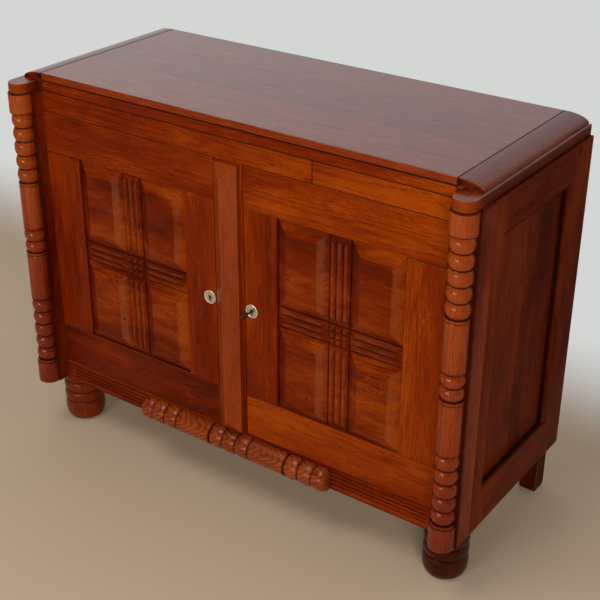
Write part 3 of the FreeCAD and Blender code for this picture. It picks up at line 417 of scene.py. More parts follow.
@dataclass(frozen=True)
class OakFinish:
    """Stained and polished oak, or bare oak for the inside.

    Growth rings are circles about the heart, bent by a slow noise, so that boards show arched figure,
    turned lengths show loops and ends show arcs. Pores crowd at the start of each ring.
    """

    name: str
    deep: Colour = (0.066, 0.0050, 0.0005)
    middle: Colour = (0.170, 0.0150, 0.0008)
    bright: Colour = (0.320, 0.0500, 0.0016)
    pore: Colour = (0.026, 0.0028, 0.0006)
    # Near-black colour of dirt at joints and of painted shade in grooves and recesses.
    soil: Colour = (0.010, 0.0020, 0.0008)
    # Colour of wear on arrises and crests and of the painted sheen on some bevels.
    worn: Colour = (0.40, 0.092, 0.010)
    ring_pitch: float = 0.0034
    figure: float = 0.13
    fleck: float = 0.22
    contrast: float = 0.44
    stain: float = 1.1
    mottle: float = 0.42
    pores: float = 0.70
    roughness: float = 0.36
    coat: float = 0.0
    coat_roughness: float = 0.22
    coat_ior: float = 1.5
    specular: float = 0.15
    sheen_tint: Colour = (1.0, 0.28, 0.04)
    grime: float = 0.85
    rub: float = 0.34
    upright_coat: float = 1.0
    taper: float = 0.006
    ripple: float = 0.0
    wave: float = 0.00022
    wander: float = 0.026
    early_fall: Range = (0.55, 0.0)
    early_rise: Range = (0.93, 1.0)
    early_mean: float = 0.4
    pore_range: Range = (0.54, 0.66)
    late_pores: float = 0.45
    ray_line: Range = (0.040, 0.0)
    ray_area: Range = (0.58, 0.72)
    tone_step: float = 0.30
    shade_stops: Tuple[float, float, float] = (0.12, 0.5, 0.92)
    pore_roughness: float = 0.18
    cloud_roughness: float = 0.12
    soil_roughness: float = 0.25
    soil_patch: float = 0.45
    soil_range: Range = (0.22, 0.95)
    soil_coat: float = 0.85
    worn_patch: float = 0.9
    worn_range: Range = (0.45, 1.15)
    level_range: Range = (0.58, 1.0)
    pore_depth: float = 0.00005
    early_depth: float = 0.00001
    fibre_depth: float = 0.00003
    sunk_range: Range = (0.0005, 0.011)

    def material(self, label: str, timber: Optional[Timber] = None, middle: Optional[Array] = None,
                 sunk: Optional[float] = None) -> bpy.types.Material:
        """Makes the material.

        Args:
            label: Name of the material.
            timber: How the wood lies on a CAD node, or None where the mesh carries its own fields.
            middle: Centre of the CAD node.
            sunk: Distance of its face from the middle plane; what lies deeper is darkened as dirt and
                painted shade.

        Returns:
            The new material.
        """
        material, graph = new_graph(label)
        if timber is None:
            grain = graph.field("grain", "Vector")
            tone, soil, worn = map(graph.field, ("tone", "soil", "worn"))
        else:
            place = graph.split(graph.node("ShaderNodeTexCoord", output="Object"))
            shifts = zip(timber.order, timber.offset(middle).tolist())
            grain = graph.joined([place[axis] + shift for axis, shift in shifts])
            run = timber.along.value
            tone = timber.tone + (place[run] - float(middle[run])) * timber.fade
            soil, worn = 0.0, 0.0
            # Painted shade and dirt: what lies deeper than the face is darkened.
            if sunk is not None:
                away = graph.math("ABSOLUTE", place[timber.face.value])
                soil = graph.rise(away, *[sunk - depth for depth in self.sunk_range])
        self._shade(graph, grain, tone, soil, worn)
        return material

    def _shade(self, graph: Graph, grain: Value, tone: Number, soil: Number, worn: Number) -> None:
        """Fills the node tree.

        Args:
            graph: The node tree.
            grain: Place in the tree trunk, along, across and through.
            tone: The board's shade.
            soil: Dirt and painted shade from 0 to 1, or a plain 0 where the board has none.
            worn: Wear and painted sheen from 0 to 1.
        """
        along, across, through = graph.split(grain)
        wander = graph.noise(grain, Pattern.WANDER)
        radius = (across * across + through * through) ** 0.5 + wander * self.wander + along * self.taper
        if self.ripple:
            radius = radius + graph.noise(grain, Pattern.RIPPLE) * self.ripple
        ring = graph.math("FRACT", radius / self.ring_pitch)
        early = graph.rise(ring, *self.early_fall) + graph.rise(ring, *self.early_rise)
        fibre, cloud, blotch, streak = [graph.noise(grain, pattern) for pattern in (
            Pattern.FIBRE, Pattern.CLOUD, Pattern.BLOTCH, Pattern.STREAK)]
        pores = graph.rise(streak, *self.pore_range) * (self.late_pores + (1.0 - self.late_pores) * early)
        curl = graph.math("ABSOLUTE", graph.noise(grain, Pattern.CURL) - 0.5)
        ray = graph.rise(curl, *self.ray_line) * graph.rise(graph.noise(grain, Pattern.RAY), *self.ray_area)
        shade = (0.5 + (fibre - 0.5) * self.contrast + (cloud - 0.5) * self.stain
                 + (blotch - 0.5) * self.mottle + tone * self.tone_step
                 - (early - self.early_mean) * self.figure + ray * self.fleck)
        colour = graph.ramp(shade, list(zip(self.shade_stops, (self.deep, self.middle, self.bright))))
        colour = graph.mixed(pores * self.pores, colour, self.pore)
        rough: Number = self.roughness + pores * self.pore_roughness + (cloud - 0.5) * self.cloud_roughness
        coat: Number = self.coat
        if isinstance(soil, Value):
            # This darkening marks real dirt at joints and painted shade in grooves, recesses and parts that
            # lie in shade.
            patch = graph.noise(grain, Pattern.PATCH) - 0.5
            grime = graph.rise(soil + patch * self.soil_patch, *self.soil_range)
            # This lightening marks wear on arrises and crests and a painted sheen on some bevels.
            wear_and_sheen_share = graph.rise(worn + patch * self.worn_patch, *self.worn_range)
            colour = graph.mixed(wear_and_sheen_share * self.rub, colour, self.worn)
            colour = graph.mixed(grime * self.grime, colour, self.soil)
            rough = rough + grime * self.soil_roughness
            coat = self.coat * (1.0 - grime * self.soil_coat)
            if self.upright_coat < 1.0:
                level = graph.rise(graph.field("up"), *self.level_range)
                coat = coat * (self.upright_coat + (1.0 - self.upright_coat) * level)
        height = ((cloud - 0.5) * self.wave - pores * self.pore_depth - early * self.early_depth
                  + (fibre - 0.5) * self.fibre_depth)
        graph.surface({
            "Base Color": colour, "Roughness": rough, "Specular IOR Level": self.specular,
            "Specular Tint": (*self.sheen_tint, 1.0), "Coat Weight": coat,
            "Coat Roughness": self.coat_roughness, "Coat IOR": self.coat_ior,
        }, height)


@dataclass(frozen=True)
class MetalFinish:
    """Old metal with tarnish in cloudy patches and a finely scratched surface, where dirt and painted shade
    add tarnish and wear and painted sheen polish it bright.
    """

    name: str
    clean: Colour
    tarnish: Colour
    patches: float
    roughness: float
    metallic: float = 1.0
    polished: Colour = (0.96, 0.95, 0.92)
    speckle: float = 0.35
    patch_edge: float = 0.35
    tarnish_roughness: float = 0.28
    scratch_roughness: float = 0.16
    tarnish_dulling: float = 0.35
    relief: float = 0.00003

    def material(self, label: str) -> bpy.types.Material:
        """Makes the material, on the place in the shared frame.

        Args:
            label: Name of the material.

        Returns:
            The new material.
        """
        material, graph = new_graph(label)
        place = graph.node("ShaderNodeTexCoord", output="Object")
        cloud, speck, scratch = [graph.noise(place, pattern) for pattern in (
            Pattern.TARNISH, Pattern.SPECK, Pattern.SCRATCH)]
        # Dirt and painted shade add tarnish; wear and painted sheen polish the metal bright.
        soil, worn = graph.field("soil"), graph.field("worn")
        dull_from = 1.0 - self.patches
        dull = cloud + (speck - 0.5) * self.speckle + soil
        tarnish = graph.rise(dull, dull_from, dull_from + self.patch_edge) * (1.0 - worn)
        colour = graph.mixed(worn, graph.mixed(tarnish, self.clean, self.tarnish), self.polished)
        rough = self.roughness + tarnish * self.tarnish_roughness + (scratch - 0.5) * self.scratch_roughness
        graph.surface({
            "Base Color": colour, "Roughness": rough,
            "Metallic": self.metallic - tarnish * self.tarnish_dulling,
        }, (scratch - 0.5) * self.relief + (speck - 0.5) * self.relief * self.patches)
        return material


Finish = Union[OakFinish, MetalFinish]


def new_object(name: str, data: Any) -> bpy.types.Object:
    """A new object in the scene."""
    made = bpy.data.objects.new(name, data)
    bpy.context.scene.collection.objects.link(made)
    return made


def dress_node(node: str, material: bpy.types.Material) -> None:
    """Gives a CAD node that stays in view its finish.

    Args:
        node: The node.
        material: Its finish.
    """
    shown = frame["nodes"][node]
    shown.data.materials.clear()
    shown.data.materials.append(material)
    LOG.info("node %s dressed in %s", node, material.name)


@dataclass
class Finishes:
    """The finishes of the cabinet and the materials made from them."""

    frame: OakFinish = OakFinish("frame_oak")
    # The panel's pale wear colour serves both the worn reed crests and the painted sheen on the bevels.
    panel: OakFinish = OakFinish(
        "panel_oak", (0.050, 0.0038, 0.0005), (0.130, 0.0110, 0.0008), (0.29, 0.044, 0.0024),
        worn=(0.22, 0.075, 0.030), rub=0.38, figure=0.14, fleck=0.26, stain=1.3, mottle=0.66,
        roughness=0.34, coat=0.03, coat_roughness=0.20, wave=0.0004)
    turned: OakFinish = OakFinish(
        "turned_oak", ring_pitch=0.0042, figure=0.16, fleck=0.05, contrast=0.36, stain=0.6,
        roughness=0.34, specular=0.04, coat=0.66, coat_roughness=0.18, pores=0.5, wave=0.00010)
    foot: OakFinish = OakFinish(
        "foot_oak", (0.024, 0.0024, 0.0005), (0.100, 0.0100, 0.0010), (0.20, 0.030, 0.0024),
        ring_pitch=0.0042, figure=0.18, fleck=0.05, stain=0.6, coat=0.24, coat_roughness=0.24, wave=0.00010)
    figured: OakFinish = OakFinish(
        "figured_oak", middle=(0.172, 0.0200, 0.0009), bright=(0.330, 0.0640, 0.0024),
        ring_pitch=0.0095, figure=0.27, fleck=0.05, contrast=0.36, stain=0.4, roughness=0.34,
        specular=0.04, coat=0.66, coat_roughness=0.26, pores=0.5, taper=0.46, ripple=0.022, wave=0.00010)
    top: OakFinish = OakFinish(
        "top_oak", figure=0.22, stain=0.35, roughness=0.30, coat=0.92, coat_roughness=0.20, coat_ior=1.66,
        specular=0.22, sheen_tint=(1.0, 0.7, 0.5), upright_coat=0.06, wave=0.0001)
    edge: OakFinish = OakFinish(
        "edge_oak", (0.058, 0.0048, 0.0006), (0.150, 0.0140, 0.0010), (0.28, 0.044, 0.0024),
        figure=0.24, stain=0.9, roughness=0.32, coat=0.82, coat_ior=1.66, specular=0.12,
        sheen_tint=(1.0, 0.5, 0.2), upright_coat=0.08, wave=0.0001)
    side: OakFinish = OakFinish(
        "side_oak", (0.046, 0.0056, 0.0020), (0.112, 0.0142, 0.0036), (0.20, 0.032, 0.0056),
        figure=0.16, stain=1.2, specular=0.02)
    inside: OakFinish = OakFinish(
        "inside_oak", (0.17, 0.070, 0.026), (0.30, 0.150, 0.062), (0.42, 0.240, 0.115),
        pore=(0.09, 0.040, 0.018), figure=0.20, fleck=0.14, roughness=0.62,
        coat=0.0, specular=0.22, sheen_tint=(1.0, 0.85, 0.7))
    nickel: MetalFinish = MetalFinish(
        "worn_nickel", (0.66, 0.59, 0.45), (0.17, 0.12, 0.065), 0.44, 0.30, metallic=0.9)
    iron: MetalFinish = MetalFinish("dark_iron", (0.16, 0.125, 0.10), (0.055, 0.036, 0.024), 0.62, 0.42)
    steel: MetalFinish = MetalFinish("lock_steel", (0.40, 0.38, 0.35), (0.14, 0.10, 0.07), 0.48, 0.36)
    brass: MetalFinish = MetalFinish("old_brass", (0.62, 0.42, 0.16), (0.24, 0.14, 0.05), 0.45, 0.34)
    made: Dict[str, bpy.types.Material] = field(default_factory=dict)

    def carried(self, finish: Finish) -> bpy.types.Material:
        """The shared material of a finish, for meshes that carry their own fields."""
        if finish.name not in self.made:
            self.made[finish.name] = finish.material(finish.name)
        return self.made[finish.name]

    def dress(self, node: str, finish: OakFinish, along: Axis, face: Axis, tone: float = 0.0,
              sunk: Optional[float] = None, fade: float = 0.0) -> None:
        """Dresses a wooden CAD node.

        Args:
            node: The node.
            finish: Its finish.
            along: Direction of its fibres.
            face: The axis that its face looks along.
            tone: Its shade, darker under 0 and lighter over 0.
            sunk: Distance of its face from the middle plane; what lies deeper is darkened as dirt and
                painted shade.
            fade: How much lighter it gets for each metre along its fibres.
        """
        timber = Timber(node, along, face, tone=tone, fade=fade)
        dress_node(node, finish.material(f"{finish.name}_{node}", timber, Limits.of(node).middle, sunk))

    def dress_metal(self, node: str, finish: MetalFinish) -> None:
        """Dresses a metal CAD node."""
        dress_node(node, self.carried(finish))


FINISH = Finishes()


@dataclass
class Shell:
    """A mesh put together from closed surfaces, with the wood's fields at its points."""

    name: str
    points: List[Array] = field(default_factory=list)
    fields: Dict[str, List[Array]] = field(default_factory=lambda: {
        "grain": [], "tone": [], "soil": [], "worn": []})
    faces: List[Array] = field(default_factory=list)
    count: int = 0

    def _take(self, points: Array, faces: Array, timber: Optional[Timber], soil: Array, worn: Array,
              tone: Array) -> None:
        """Takes in one closed surface and turns its faces outwards.

        The sign of the volume, a sum of triple products over the triangles, says which way they face.

        Args:
            points: Its points.
            faces: Corner numbers, four to a face; a triangle repeats its last corner.
            timber: How its wood lies, or None for metal.
            soil: Dirt and painted shade at each point.
            worn: Wear and painted sheen at each point.
            tone: Shade at each point beside the timber's own.
        """
        corner = points[faces]
        volume = (np.einsum("ij,ij->i", corner[:, 0], np.cross(corner[:, 1], corner[:, 2])).sum()
                  + np.einsum("ij,ij->i", corner[:, 0], np.cross(corner[:, 2], corner[:, 3])).sum())
        if volume < 0.0:
            flat = faces[:, 2] == faces[:, 3]
            turned = faces[:, ::-1].copy()
            turned[flat] = faces[flat][:, [1, 0, 2, 2]]
            faces = turned
        middle = (points.min(0) + points.max(0)) / 2.0
        grain = points
        if timber is not None:
            grain, tone = timber.coordinates(points, middle), tone + timber.shades(points, middle)
        self.points.append(points)
        for key, values in (("grain", grain), ("tone", tone), ("soil", soil), ("worn", worn)):
            self.fields[key].append(values)
        self.faces.append(faces + self.count)
        self.count += len(points)

    def add_skin(self, skin: Skin, timber: Timber) -> "Shell":
        """Adds a wooden skin, in the timber's own shade."""
        return self.add_rings(skin.rings, timber, skin.soil, skin.worn)

    def add_rings(self, rings: Array, timber: Optional[Timber] = None, soil: Values = 0.0,
                  worn: Values = 0.0, tone: Values = 0.0) -> "Shell":
        """Adds a closed surface of rings that follow each other, with both ends closed on their middles.

        Args:
            rings: Points by ring and place in the ring.
            timber: How its wood lies, or None for metal.
            soil: Dirt and painted shade by ring and place.
            worn: Wear and painted sheen by ring and place.
            tone: Shade by ring and place beside the timber's own.

        Returns:
            The shell itself.
        """
        rows, columns = rings.shape[:2]
        number = np.arange(rows * columns).reshape(rows, columns)
        following = np.roll(number, -1, axis=1)
        walls = np.stack([number[:-1], following[:-1], following[1:], number[1:]], -1).reshape(-1, 4)
        first = np.full(columns, rows * columns)
        last = first + 1
        caps = np.concatenate([
            np.stack([following[0], number[0], first, first], -1),
            np.stack([number[-1], following[-1], last, last], -1),
        ])
        points = np.concatenate([rings.reshape(-1, 3), rings[:1].mean(1), rings[-1:].mean(1)])
        spread = [np.broadcast_to(given, (rows, columns)) for given in (soil, worn, tone)]
        self._take(points, np.concatenate([walls, caps]), timber, *[
            np.append(values, [values[0].mean(), values[-1].mean()]) for values in spread])
        return self

    def add_loop(self, rings: Array, soil: Values = 0.0, worn: Values = 0.0) -> "Shell":
        """Adds a metal tube that closes on itself both ways, such as a ring.

        Args:
            rings: Points by ring and place in the ring.
            soil: Dirt and painted shade of each ring.
            worn: Wear and painted sheen of each ring.

        Returns:
            The shell itself.
        """
        rows, columns = rings.shape[:2]
        number = np.arange(rows * columns).reshape(rows, columns)
        beside = np.roll(number, -1, axis=1)
        walls = np.stack([number, beside, np.roll(beside, -1, axis=0), np.roll(number, -1, axis=0)], -1)
        self._take(rings.reshape(-1, 3), walls.reshape(-1, 4), None, *[
            np.repeat(np.broadcast_to(given, rows), columns) for given in (soil, worn, 0.0)])
        return self

    def add_relief(self, grid: Array, back: float, timber: Timber, soil: Values, worn: Values,
                   tone: Values = 0.0) -> "Shell":
        """Adds a block whose face is a relief: straight walls run from its rim to a flat back.

        Args:
            grid: Points of the face by row and column.
            back: Where the flat back lies along the axis that the face looks along.
            timber: How its wood lies.
            soil: Dirt and painted shade by row and column.
            worn: Wear and painted sheen by row and column.
            tone: Shade by row and column beside the timber's own.

        Returns:
            The shell itself.
        """
        rows, columns = grid.shape[:2]
        number = np.arange(rows * columns).reshape(rows, columns)
        sheet = np.stack([number[:-1, :-1], number[:-1, 1:], number[1:, 1:], number[1:, :-1]], -1)
        rim = np.concatenate([number[0, :-1], number[:-1, -1], number[-1, :0:-1], number[:0:-1, 0]])
        behind = rows * columns + np.arange(len(rim))
        middle = np.full(len(rim), rows * columns + len(rim))
        walls = np.stack([np.roll(rim, -1), rim, behind, np.roll(behind, -1)], -1)
        closing = np.stack([np.roll(behind, -1), behind, middle, middle], -1)
        flat = grid.reshape(-1, 3)
        rear = flat[rim].copy()
        rear[:, timber.face.value] = back
        points = np.concatenate([flat, rear, rear.mean(0)[None]])
        faces = np.concatenate([sheet.reshape(-1, 4), walls, closing])
        spread = [np.broadcast_to(given, (rows, columns)).ravel() for given in (soil, worn, tone)]
        self._take(points, faces, timber, *[
            np.concatenate([values, values[rim], [values[rim].mean()]]) for values in spread])
        return self

    def build(self, finish: Finish, *nodes: str, body: str = "carcass", slot: Slot = Slot.OAK,
              crease: float = 38.0) -> None:
        """Makes the object, hangs it on the body that it rides on and hides the nodes that it stands for.

        Args:
            finish: Its finish.
            nodes: The CAD nodes it stands for.
            body: The CAD body it moves with.
            slot: The record's material slot; not used.
            crease: Angle in degrees above which an edge stays sharp.
        """
        points = np.concatenate(self.points)
        faces = np.concatenate(self.faces)
        flat = faces[:, 2] == faces[:, 3]
        squares, corners = faces[~flat], faces[flat][:, :3]
        mesh = bpy.data.meshes.new(self.name)
        mesh.vertices.add(len(points))
        mesh.vertices.foreach_set("co", points.astype(np.float32).ravel())
        loops = np.concatenate([squares.ravel(), corners.ravel()]).astype(np.int32)
        mesh.loops.add(len(loops))
        mesh.loops.foreach_set("vertex_index", loops)
        starts = np.concatenate([np.arange(len(squares)) * 4, squares.size + np.arange(len(corners)) * 3])
        mesh.polygons.add(len(starts))
        mesh.polygons.foreach_set("loop_start", starts.astype(np.int32))
        mesh.update(calc_edges=True)
        mesh.polygons.foreach_set("use_smooth", np.ones(len(starts), bool))
        mesh.set_sharp_from_angle(angle=math.radians(crease))
        upward = np.empty(len(points) * 3, np.float32)
        mesh.vertices.foreach_get("normal", upward)
        self.fields["up"] = [upward[2::3]]
        for key, values in self.fields.items():
            kind, part = ("FLOAT_VECTOR", "vector") if key == "grain" else ("FLOAT", "value")
            layer = mesh.attributes.new(key, kind, "POINT")
            layer.data.foreach_set(part, np.concatenate(values).astype(np.float32).ravel())
        mesh.materials.append(FINISH.carried(finish))
        mesh.validate()
        piece = new_object(self.name, mesh)
        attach(piece, body)
        if nodes:
            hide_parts(*nodes)
        LOG.info("piece %s on %s: %d points", self.name, body, len(points))


@dataclass
class Outline:
    """A closed outline with rounded corners, with its wear and painted sheen and its dirt and painted shade
    along its way.
    """

    points: Array
    worn: Array
    soil: Values = 0.0

    @classmethod
    def rounded(cls, corners: Sequence[Range], radius: Values, margin: float = 0.010,
                seams: Sequence[int] = (), covered: Sequence[int] = ()) -> "Outline":
        """Rounds the corners of a polygon.

        Each corner is a rational parabola between the two points where the rounding leaves the sides,
        with the cosine of half the turn as its middle weight, which is a true circle. Each side then
        gets two points near its ends and two at a margin from them, so that flat faces stay flat.

        Args:
            corners: The polygon's corners in order.
            radius: Radius of the rounding, or one for each corner.
            margin: How far in from a corner the strip of wear and painted sheen has ended.
            seams: Numbers of the corners that meet another piece, so that they gather dirt.
            covered: Numbers of the corners whose following side is mostly covered, and so darkened as
                painted shade and dirt.

        Returns:
            The outline.
        """
        corner = np.array(corners, float)
        run_in = corner - np.roll(corner, 1, axis=0)
        length = np.linalg.norm(run_in, axis=1)
        unit_in = run_in / length[:, None]
        unit_out = np.roll(unit_in, -1, axis=0)
        half = np.arccos(np.clip((unit_in * unit_out).sum(1), -1.0, 1.0)) / 2.0
        reach = np.minimum(radius * np.tan(half), 0.3 * np.minimum(length, np.roll(length, -1)))
        start = corner - unit_in * reach[:, None]
        end = corner + unit_out * reach[:, None]
        share = np.linspace(0.0, 1.0, 5)[None, :, None]
        weight = np.cos(half)[:, None, None] * 2.0 * share * (1.0 - share)
        before, after = (1.0 - share) ** 2, share ** 2
        arc = (before * start[:, None] + weight * corner[:, None] + after * end[:, None]) / (
            before + weight + after)
        side = np.roll(start, -1, axis=0) - end
        span = np.linalg.norm(side, axis=1)
        near = np.minimum(np.maximum(0.6 * radius, 0.0015 if seams else 0.0), 0.2 * span) / span
        far = np.minimum(margin, 0.4 * span) / span
        shares = np.stack([near, far, 1.0 - far, 1.0 - near], 1)
        straight = end[:, None] + side[:, None] * shares[..., None]
        points = np.concatenate([arc, straight], 1).reshape(-1, 2)
        dirty = np.isin(np.arange(len(corner)), seams).astype(float)[:, None]
        worn = np.array([0.6, 1.0, 1.0, 1.0, 0.6, 0.25, 0.0, 0.0, 0.25]) * (1.0 - dirty)
        soil = dirty * np.array([0.6, 0.9, 1.0, 0.9, 0.6, 0.25, 0.0, 0.0, 0.0])
        soil[:, -1] = 0.25 * np.roll(dirty[:, 0], -1)
        # Painted shade and dirt: the side that another piece mostly covers is darkened.
        for number in covered:
            following = (number + 1) % len(corner)
            soil[number, 2:] = soil[following, :3] = 0.9
            soil[following, 3:6] = soil[number - 1, 8] = 0.7
            soil[following, 6] = soil[number - 1, 7] = 0.2
        return cls(points, worn.ravel(), soil.ravel())

    def inward(self) -> Array:
        """Step at each point that moves the outline in by one, along the bisector of its two sides.

        Returns:
            The step of each point.
        """
        ahead = np.roll(self.points, -1, axis=0) - self.points
        ahead = ahead / np.maximum(np.linalg.norm(ahead, axis=1), 1e-9)[:, None]
        across = np.stack([-ahead[:, 1], ahead[:, 0]], 1)
        following = np.roll(self.points, -1, axis=0)
        area = (self.points[:, 0] * following[:, 1] - self.points[:, 1] * following[:, 0]).sum()
        across = across * np.sign(area)
        both = across + np.roll(across, 1, axis=0)
        share = 1.0 + (across * np.roll(across, 1, axis=0)).sum(1)
        return both / np.maximum(share, 0.3)[:, None]


def planed(outline: Outline, along: Axis, start: float, end: float, radius: float,
           butted: bool = True, margin: float = 0.012) -> Skin:
    """A straight piece with eased arrises: an outline carried along an axis and drawn in at both ends.

    At each end the outline is drawn in by the radius less the sine of an angle times it while it moves on
    by the radius less the cosine times it, which is a quarter round.

    Args:
        outline: Cross section in the two other axes, in their order.
        along: Direction of the piece.
        start: Place of the first end.
        end: Place of the last end.
        radius: Radius of the arris at the ends.
        butted: True where the ends meet another piece, so that they gather dirt and no wear.
        margin: How far from an end its dirt has faded.

    Returns:
        The piece's skin.
    """
    margin = min(margin, 0.4 * (end - start))
    turn = np.linspace(0.0, QUARTER_TURN, 4)
    drawn = np.concatenate([[1.6 * radius], radius * (1.0 - 0.97 * np.sin(turn)), [0.0, 0.0]])
    moved = np.concatenate([[0.0], radius * (1.0 - np.cos(turn)), [1.7 * radius, margin]])
    edge = np.array([0.2, 0.8, 1.0, 1.0, 0.8, 0.5, 0.0])
    drawn = np.concatenate([drawn, drawn[::-1]])
    place = np.concatenate([start + moved, end - moved[::-1]])
    edge = np.concatenate([edge, edge[::-1]])
    flat = outline.points[None] + outline.inward()[None] * drawn[:, None, None]
    rings = along.placed(place[:, None], flat[..., 0], flat[..., 1])
    dirty, wear_and_sheen_share = (edge, 0.0 * edge) if butted else (0.0 * edge, edge)
    soil = np.maximum(dirty[:, None], np.broadcast_to(outline.soil, len(outline.points)))
    worn = np.maximum(outline.worn, wear_and_sheen_share[:, None]) * (1.0 - soil)
    return Skin(rings, soil, worn)


def planed_board(limits: Limits, along: Axis, radius: float, butted: bool = True,
                 seams: Sequence[int] = ()) -> Skin:
    """A board between limits, as an eased rectangle carried along its fibres.

    Args:
        limits: Its corners.
        along: Direction of its fibres.
        radius: Radius of its arrises.
        butted: True where its ends meet another piece.
        seams: Numbers of the long arrises that gather dirt, from the lowest corner round its section.

    Returns:
        The board's skin.
    """
    section = rectangle(*[np.delete(corner, along.value) for corner in (limits.low, limits.high)])
    outline = Outline.rounded(section, radius, seams=seams)
    return planed(outline, along, limits.low[along.value], limits.high[along.value], radius, butted)


@dataclass
class Profile:
    """The outline of a turned piece: places along its axis, with radius, dirt and painted shade, and wear
    and painted sheen at each.
    """

    stretches: List[Array] = field(default_factory=list)

    def _add(self, place: Array, *values: Values) -> None:
        """Takes in one stretch: its places, and the radius, dirt and painted shade, and wear and painted
        sheen at each of them.
        """
        self.stretches.append(np.stack(np.broadcast_arrays(place, *values)))

    def plain(self, start: float, end: float, radius: float, ease: float = 0.0012,
              low_dirt_and_shade: float = 0.0, high_dirt_and_shade: float = 0.0) -> None:
        """Adds a plain length whose two arrises are eased by quarter rounds.

        Args:
            start: Place of the first arris.
            end: Place of the last arris.
            radius: Radius of the length.
            ease: Radius of the easing.
            low_dirt_and_shade: Dirt and painted shade at the first arris.
            high_dirt_and_shade: Dirt and painted shade at the last arris.
        """
        turn = np.linspace(0.0, QUARTER_TURN, 4)
        move, fall = ease * (1.0 - np.cos(turn)), ease * (1.0 - np.sin(turn))
        inner = start + (end - start) * np.array([0.1, 0.3, 0.5, 0.7, 0.9])
        place = np.concatenate([start + move, inner, end - move[::-1]])
        radius_at = np.concatenate([radius - fall, np.full(5, radius), radius - fall[::-1]])
        soil, worn = np.repeat([[low_dirt_and_shade, 0.0, high_dirt_and_shade], [0.8, 0.0, 0.8]], [4, 5, 4], axis=1)
        self._add(place, radius_at, soil, worn * (1.0 - soil))

    def bead(self, start: float, end: float, groove: float, crest: float, fullness: float = 2.3,
             samples: int = 30) -> None:
        """Adds one bead: radius is the groove's plus the rise times one less the share to a power.

        Args:
            start: Place of the first groove.
            end: Place of the last groove.
            groove: Radius in the grooves.
            crest: Radius at the crest.
            fullness: The power; 2 is a parabola and more is a fuller bead.
            samples: Points along the bead.
        """
        share = -np.cos(np.linspace(0.0, math.pi, samples))
        size = np.abs(share)
        radius = groove + (crest - groove) * (1.0 - size ** fullness)
        # The grooves are darkened as dirt and painted shade, and the crest lightened as wear and painted
        # sheen.
        soil = 0.95 * smooth_step(0.76, 1.0, size)
        worn = 0.55 * smooth_step(0.35, 0.0, size)
        self._add((start + end) / 2.0 + share * (end - start) / 2.0, radius, soil, worn)

    def dome(self, start: float, end: float, first: float, last: float, power: float,
             samples: int = 18) -> None:
        """Adds a rounded end that rises from one radius to another along a superellipse.

        Args:
            start: Place of the small radius or the large one.
            end: Place of the other.
            first: Radius at the start.
            last: Radius at the end.
            power: Power of the superellipse.
            samples: Points along it.
        """
        share = np.sin(np.linspace(0.0, QUARTER_TURN, samples))
        climb = (1.0 - (1.0 - share) ** power) ** (1.0 / power)
        if first > last:
            share, climb = 1.0 - share[::-1], 1.0 - climb[::-1]
        self._add(start + share * (end - start), first + (last - first) * climb, 0.0, 0.0)

    def cut_line(self, place: float, radius: float, width: float, depth: float) -> None:
        """Adds a fine line of a width and a depth, cut into a plain length of a radius."""
        share = np.linspace(-1.0, 1.0, 7)
        cut = 1.0 - np.abs(share)
        # The cut is darkened as dirt and painted shade.
        self._add(place + share * width / 2.0, radius - depth * cut, cut, 0.0)

    def rings(self, along: Axis, first: float, second: float, cut: Optional[float] = None,
              count: int = 96) -> Skin:
        """Turns the profile about its axis.

        The angle runs from the front, both ways, to the back, or to where a flat cut behind the axis
        meets the round, whose cosine is less the cut's distance over the radius.

        Args:
            along: Direction of the axis.
            first: Place of the axis in the first other direction.
            second: Place of the axis in the second other direction.
            cut: Distance of a flat cut behind the axis, or None for a full turn.
            count: Points in a ring.

        Returns:
            The skin of the turned piece.
        """
        place, radius, soil, worn = np.concatenate(self.stretches, 1)
        if cut is None:
            whole = np.linspace(-math.pi, math.pi, count, endpoint=False)
            angle = np.broadcast_to(whole, (len(place), count))
        else:
            most = np.arccos(np.clip(-cut / radius, -1.0, 1.0))
            angle = np.linspace(-1.0, 1.0, count)[None] * most[:, None]
        sideways, forward = radius[:, None] * np.sin(angle), -radius[:, None] * np.cos(angle)
        if along is Axis.X:
            sideways, forward = forward, sideways
        rings = along.placed(place[:, None], first + sideways, second + forward)
        return Skin(rings, soil[:, None], worn[:, None])


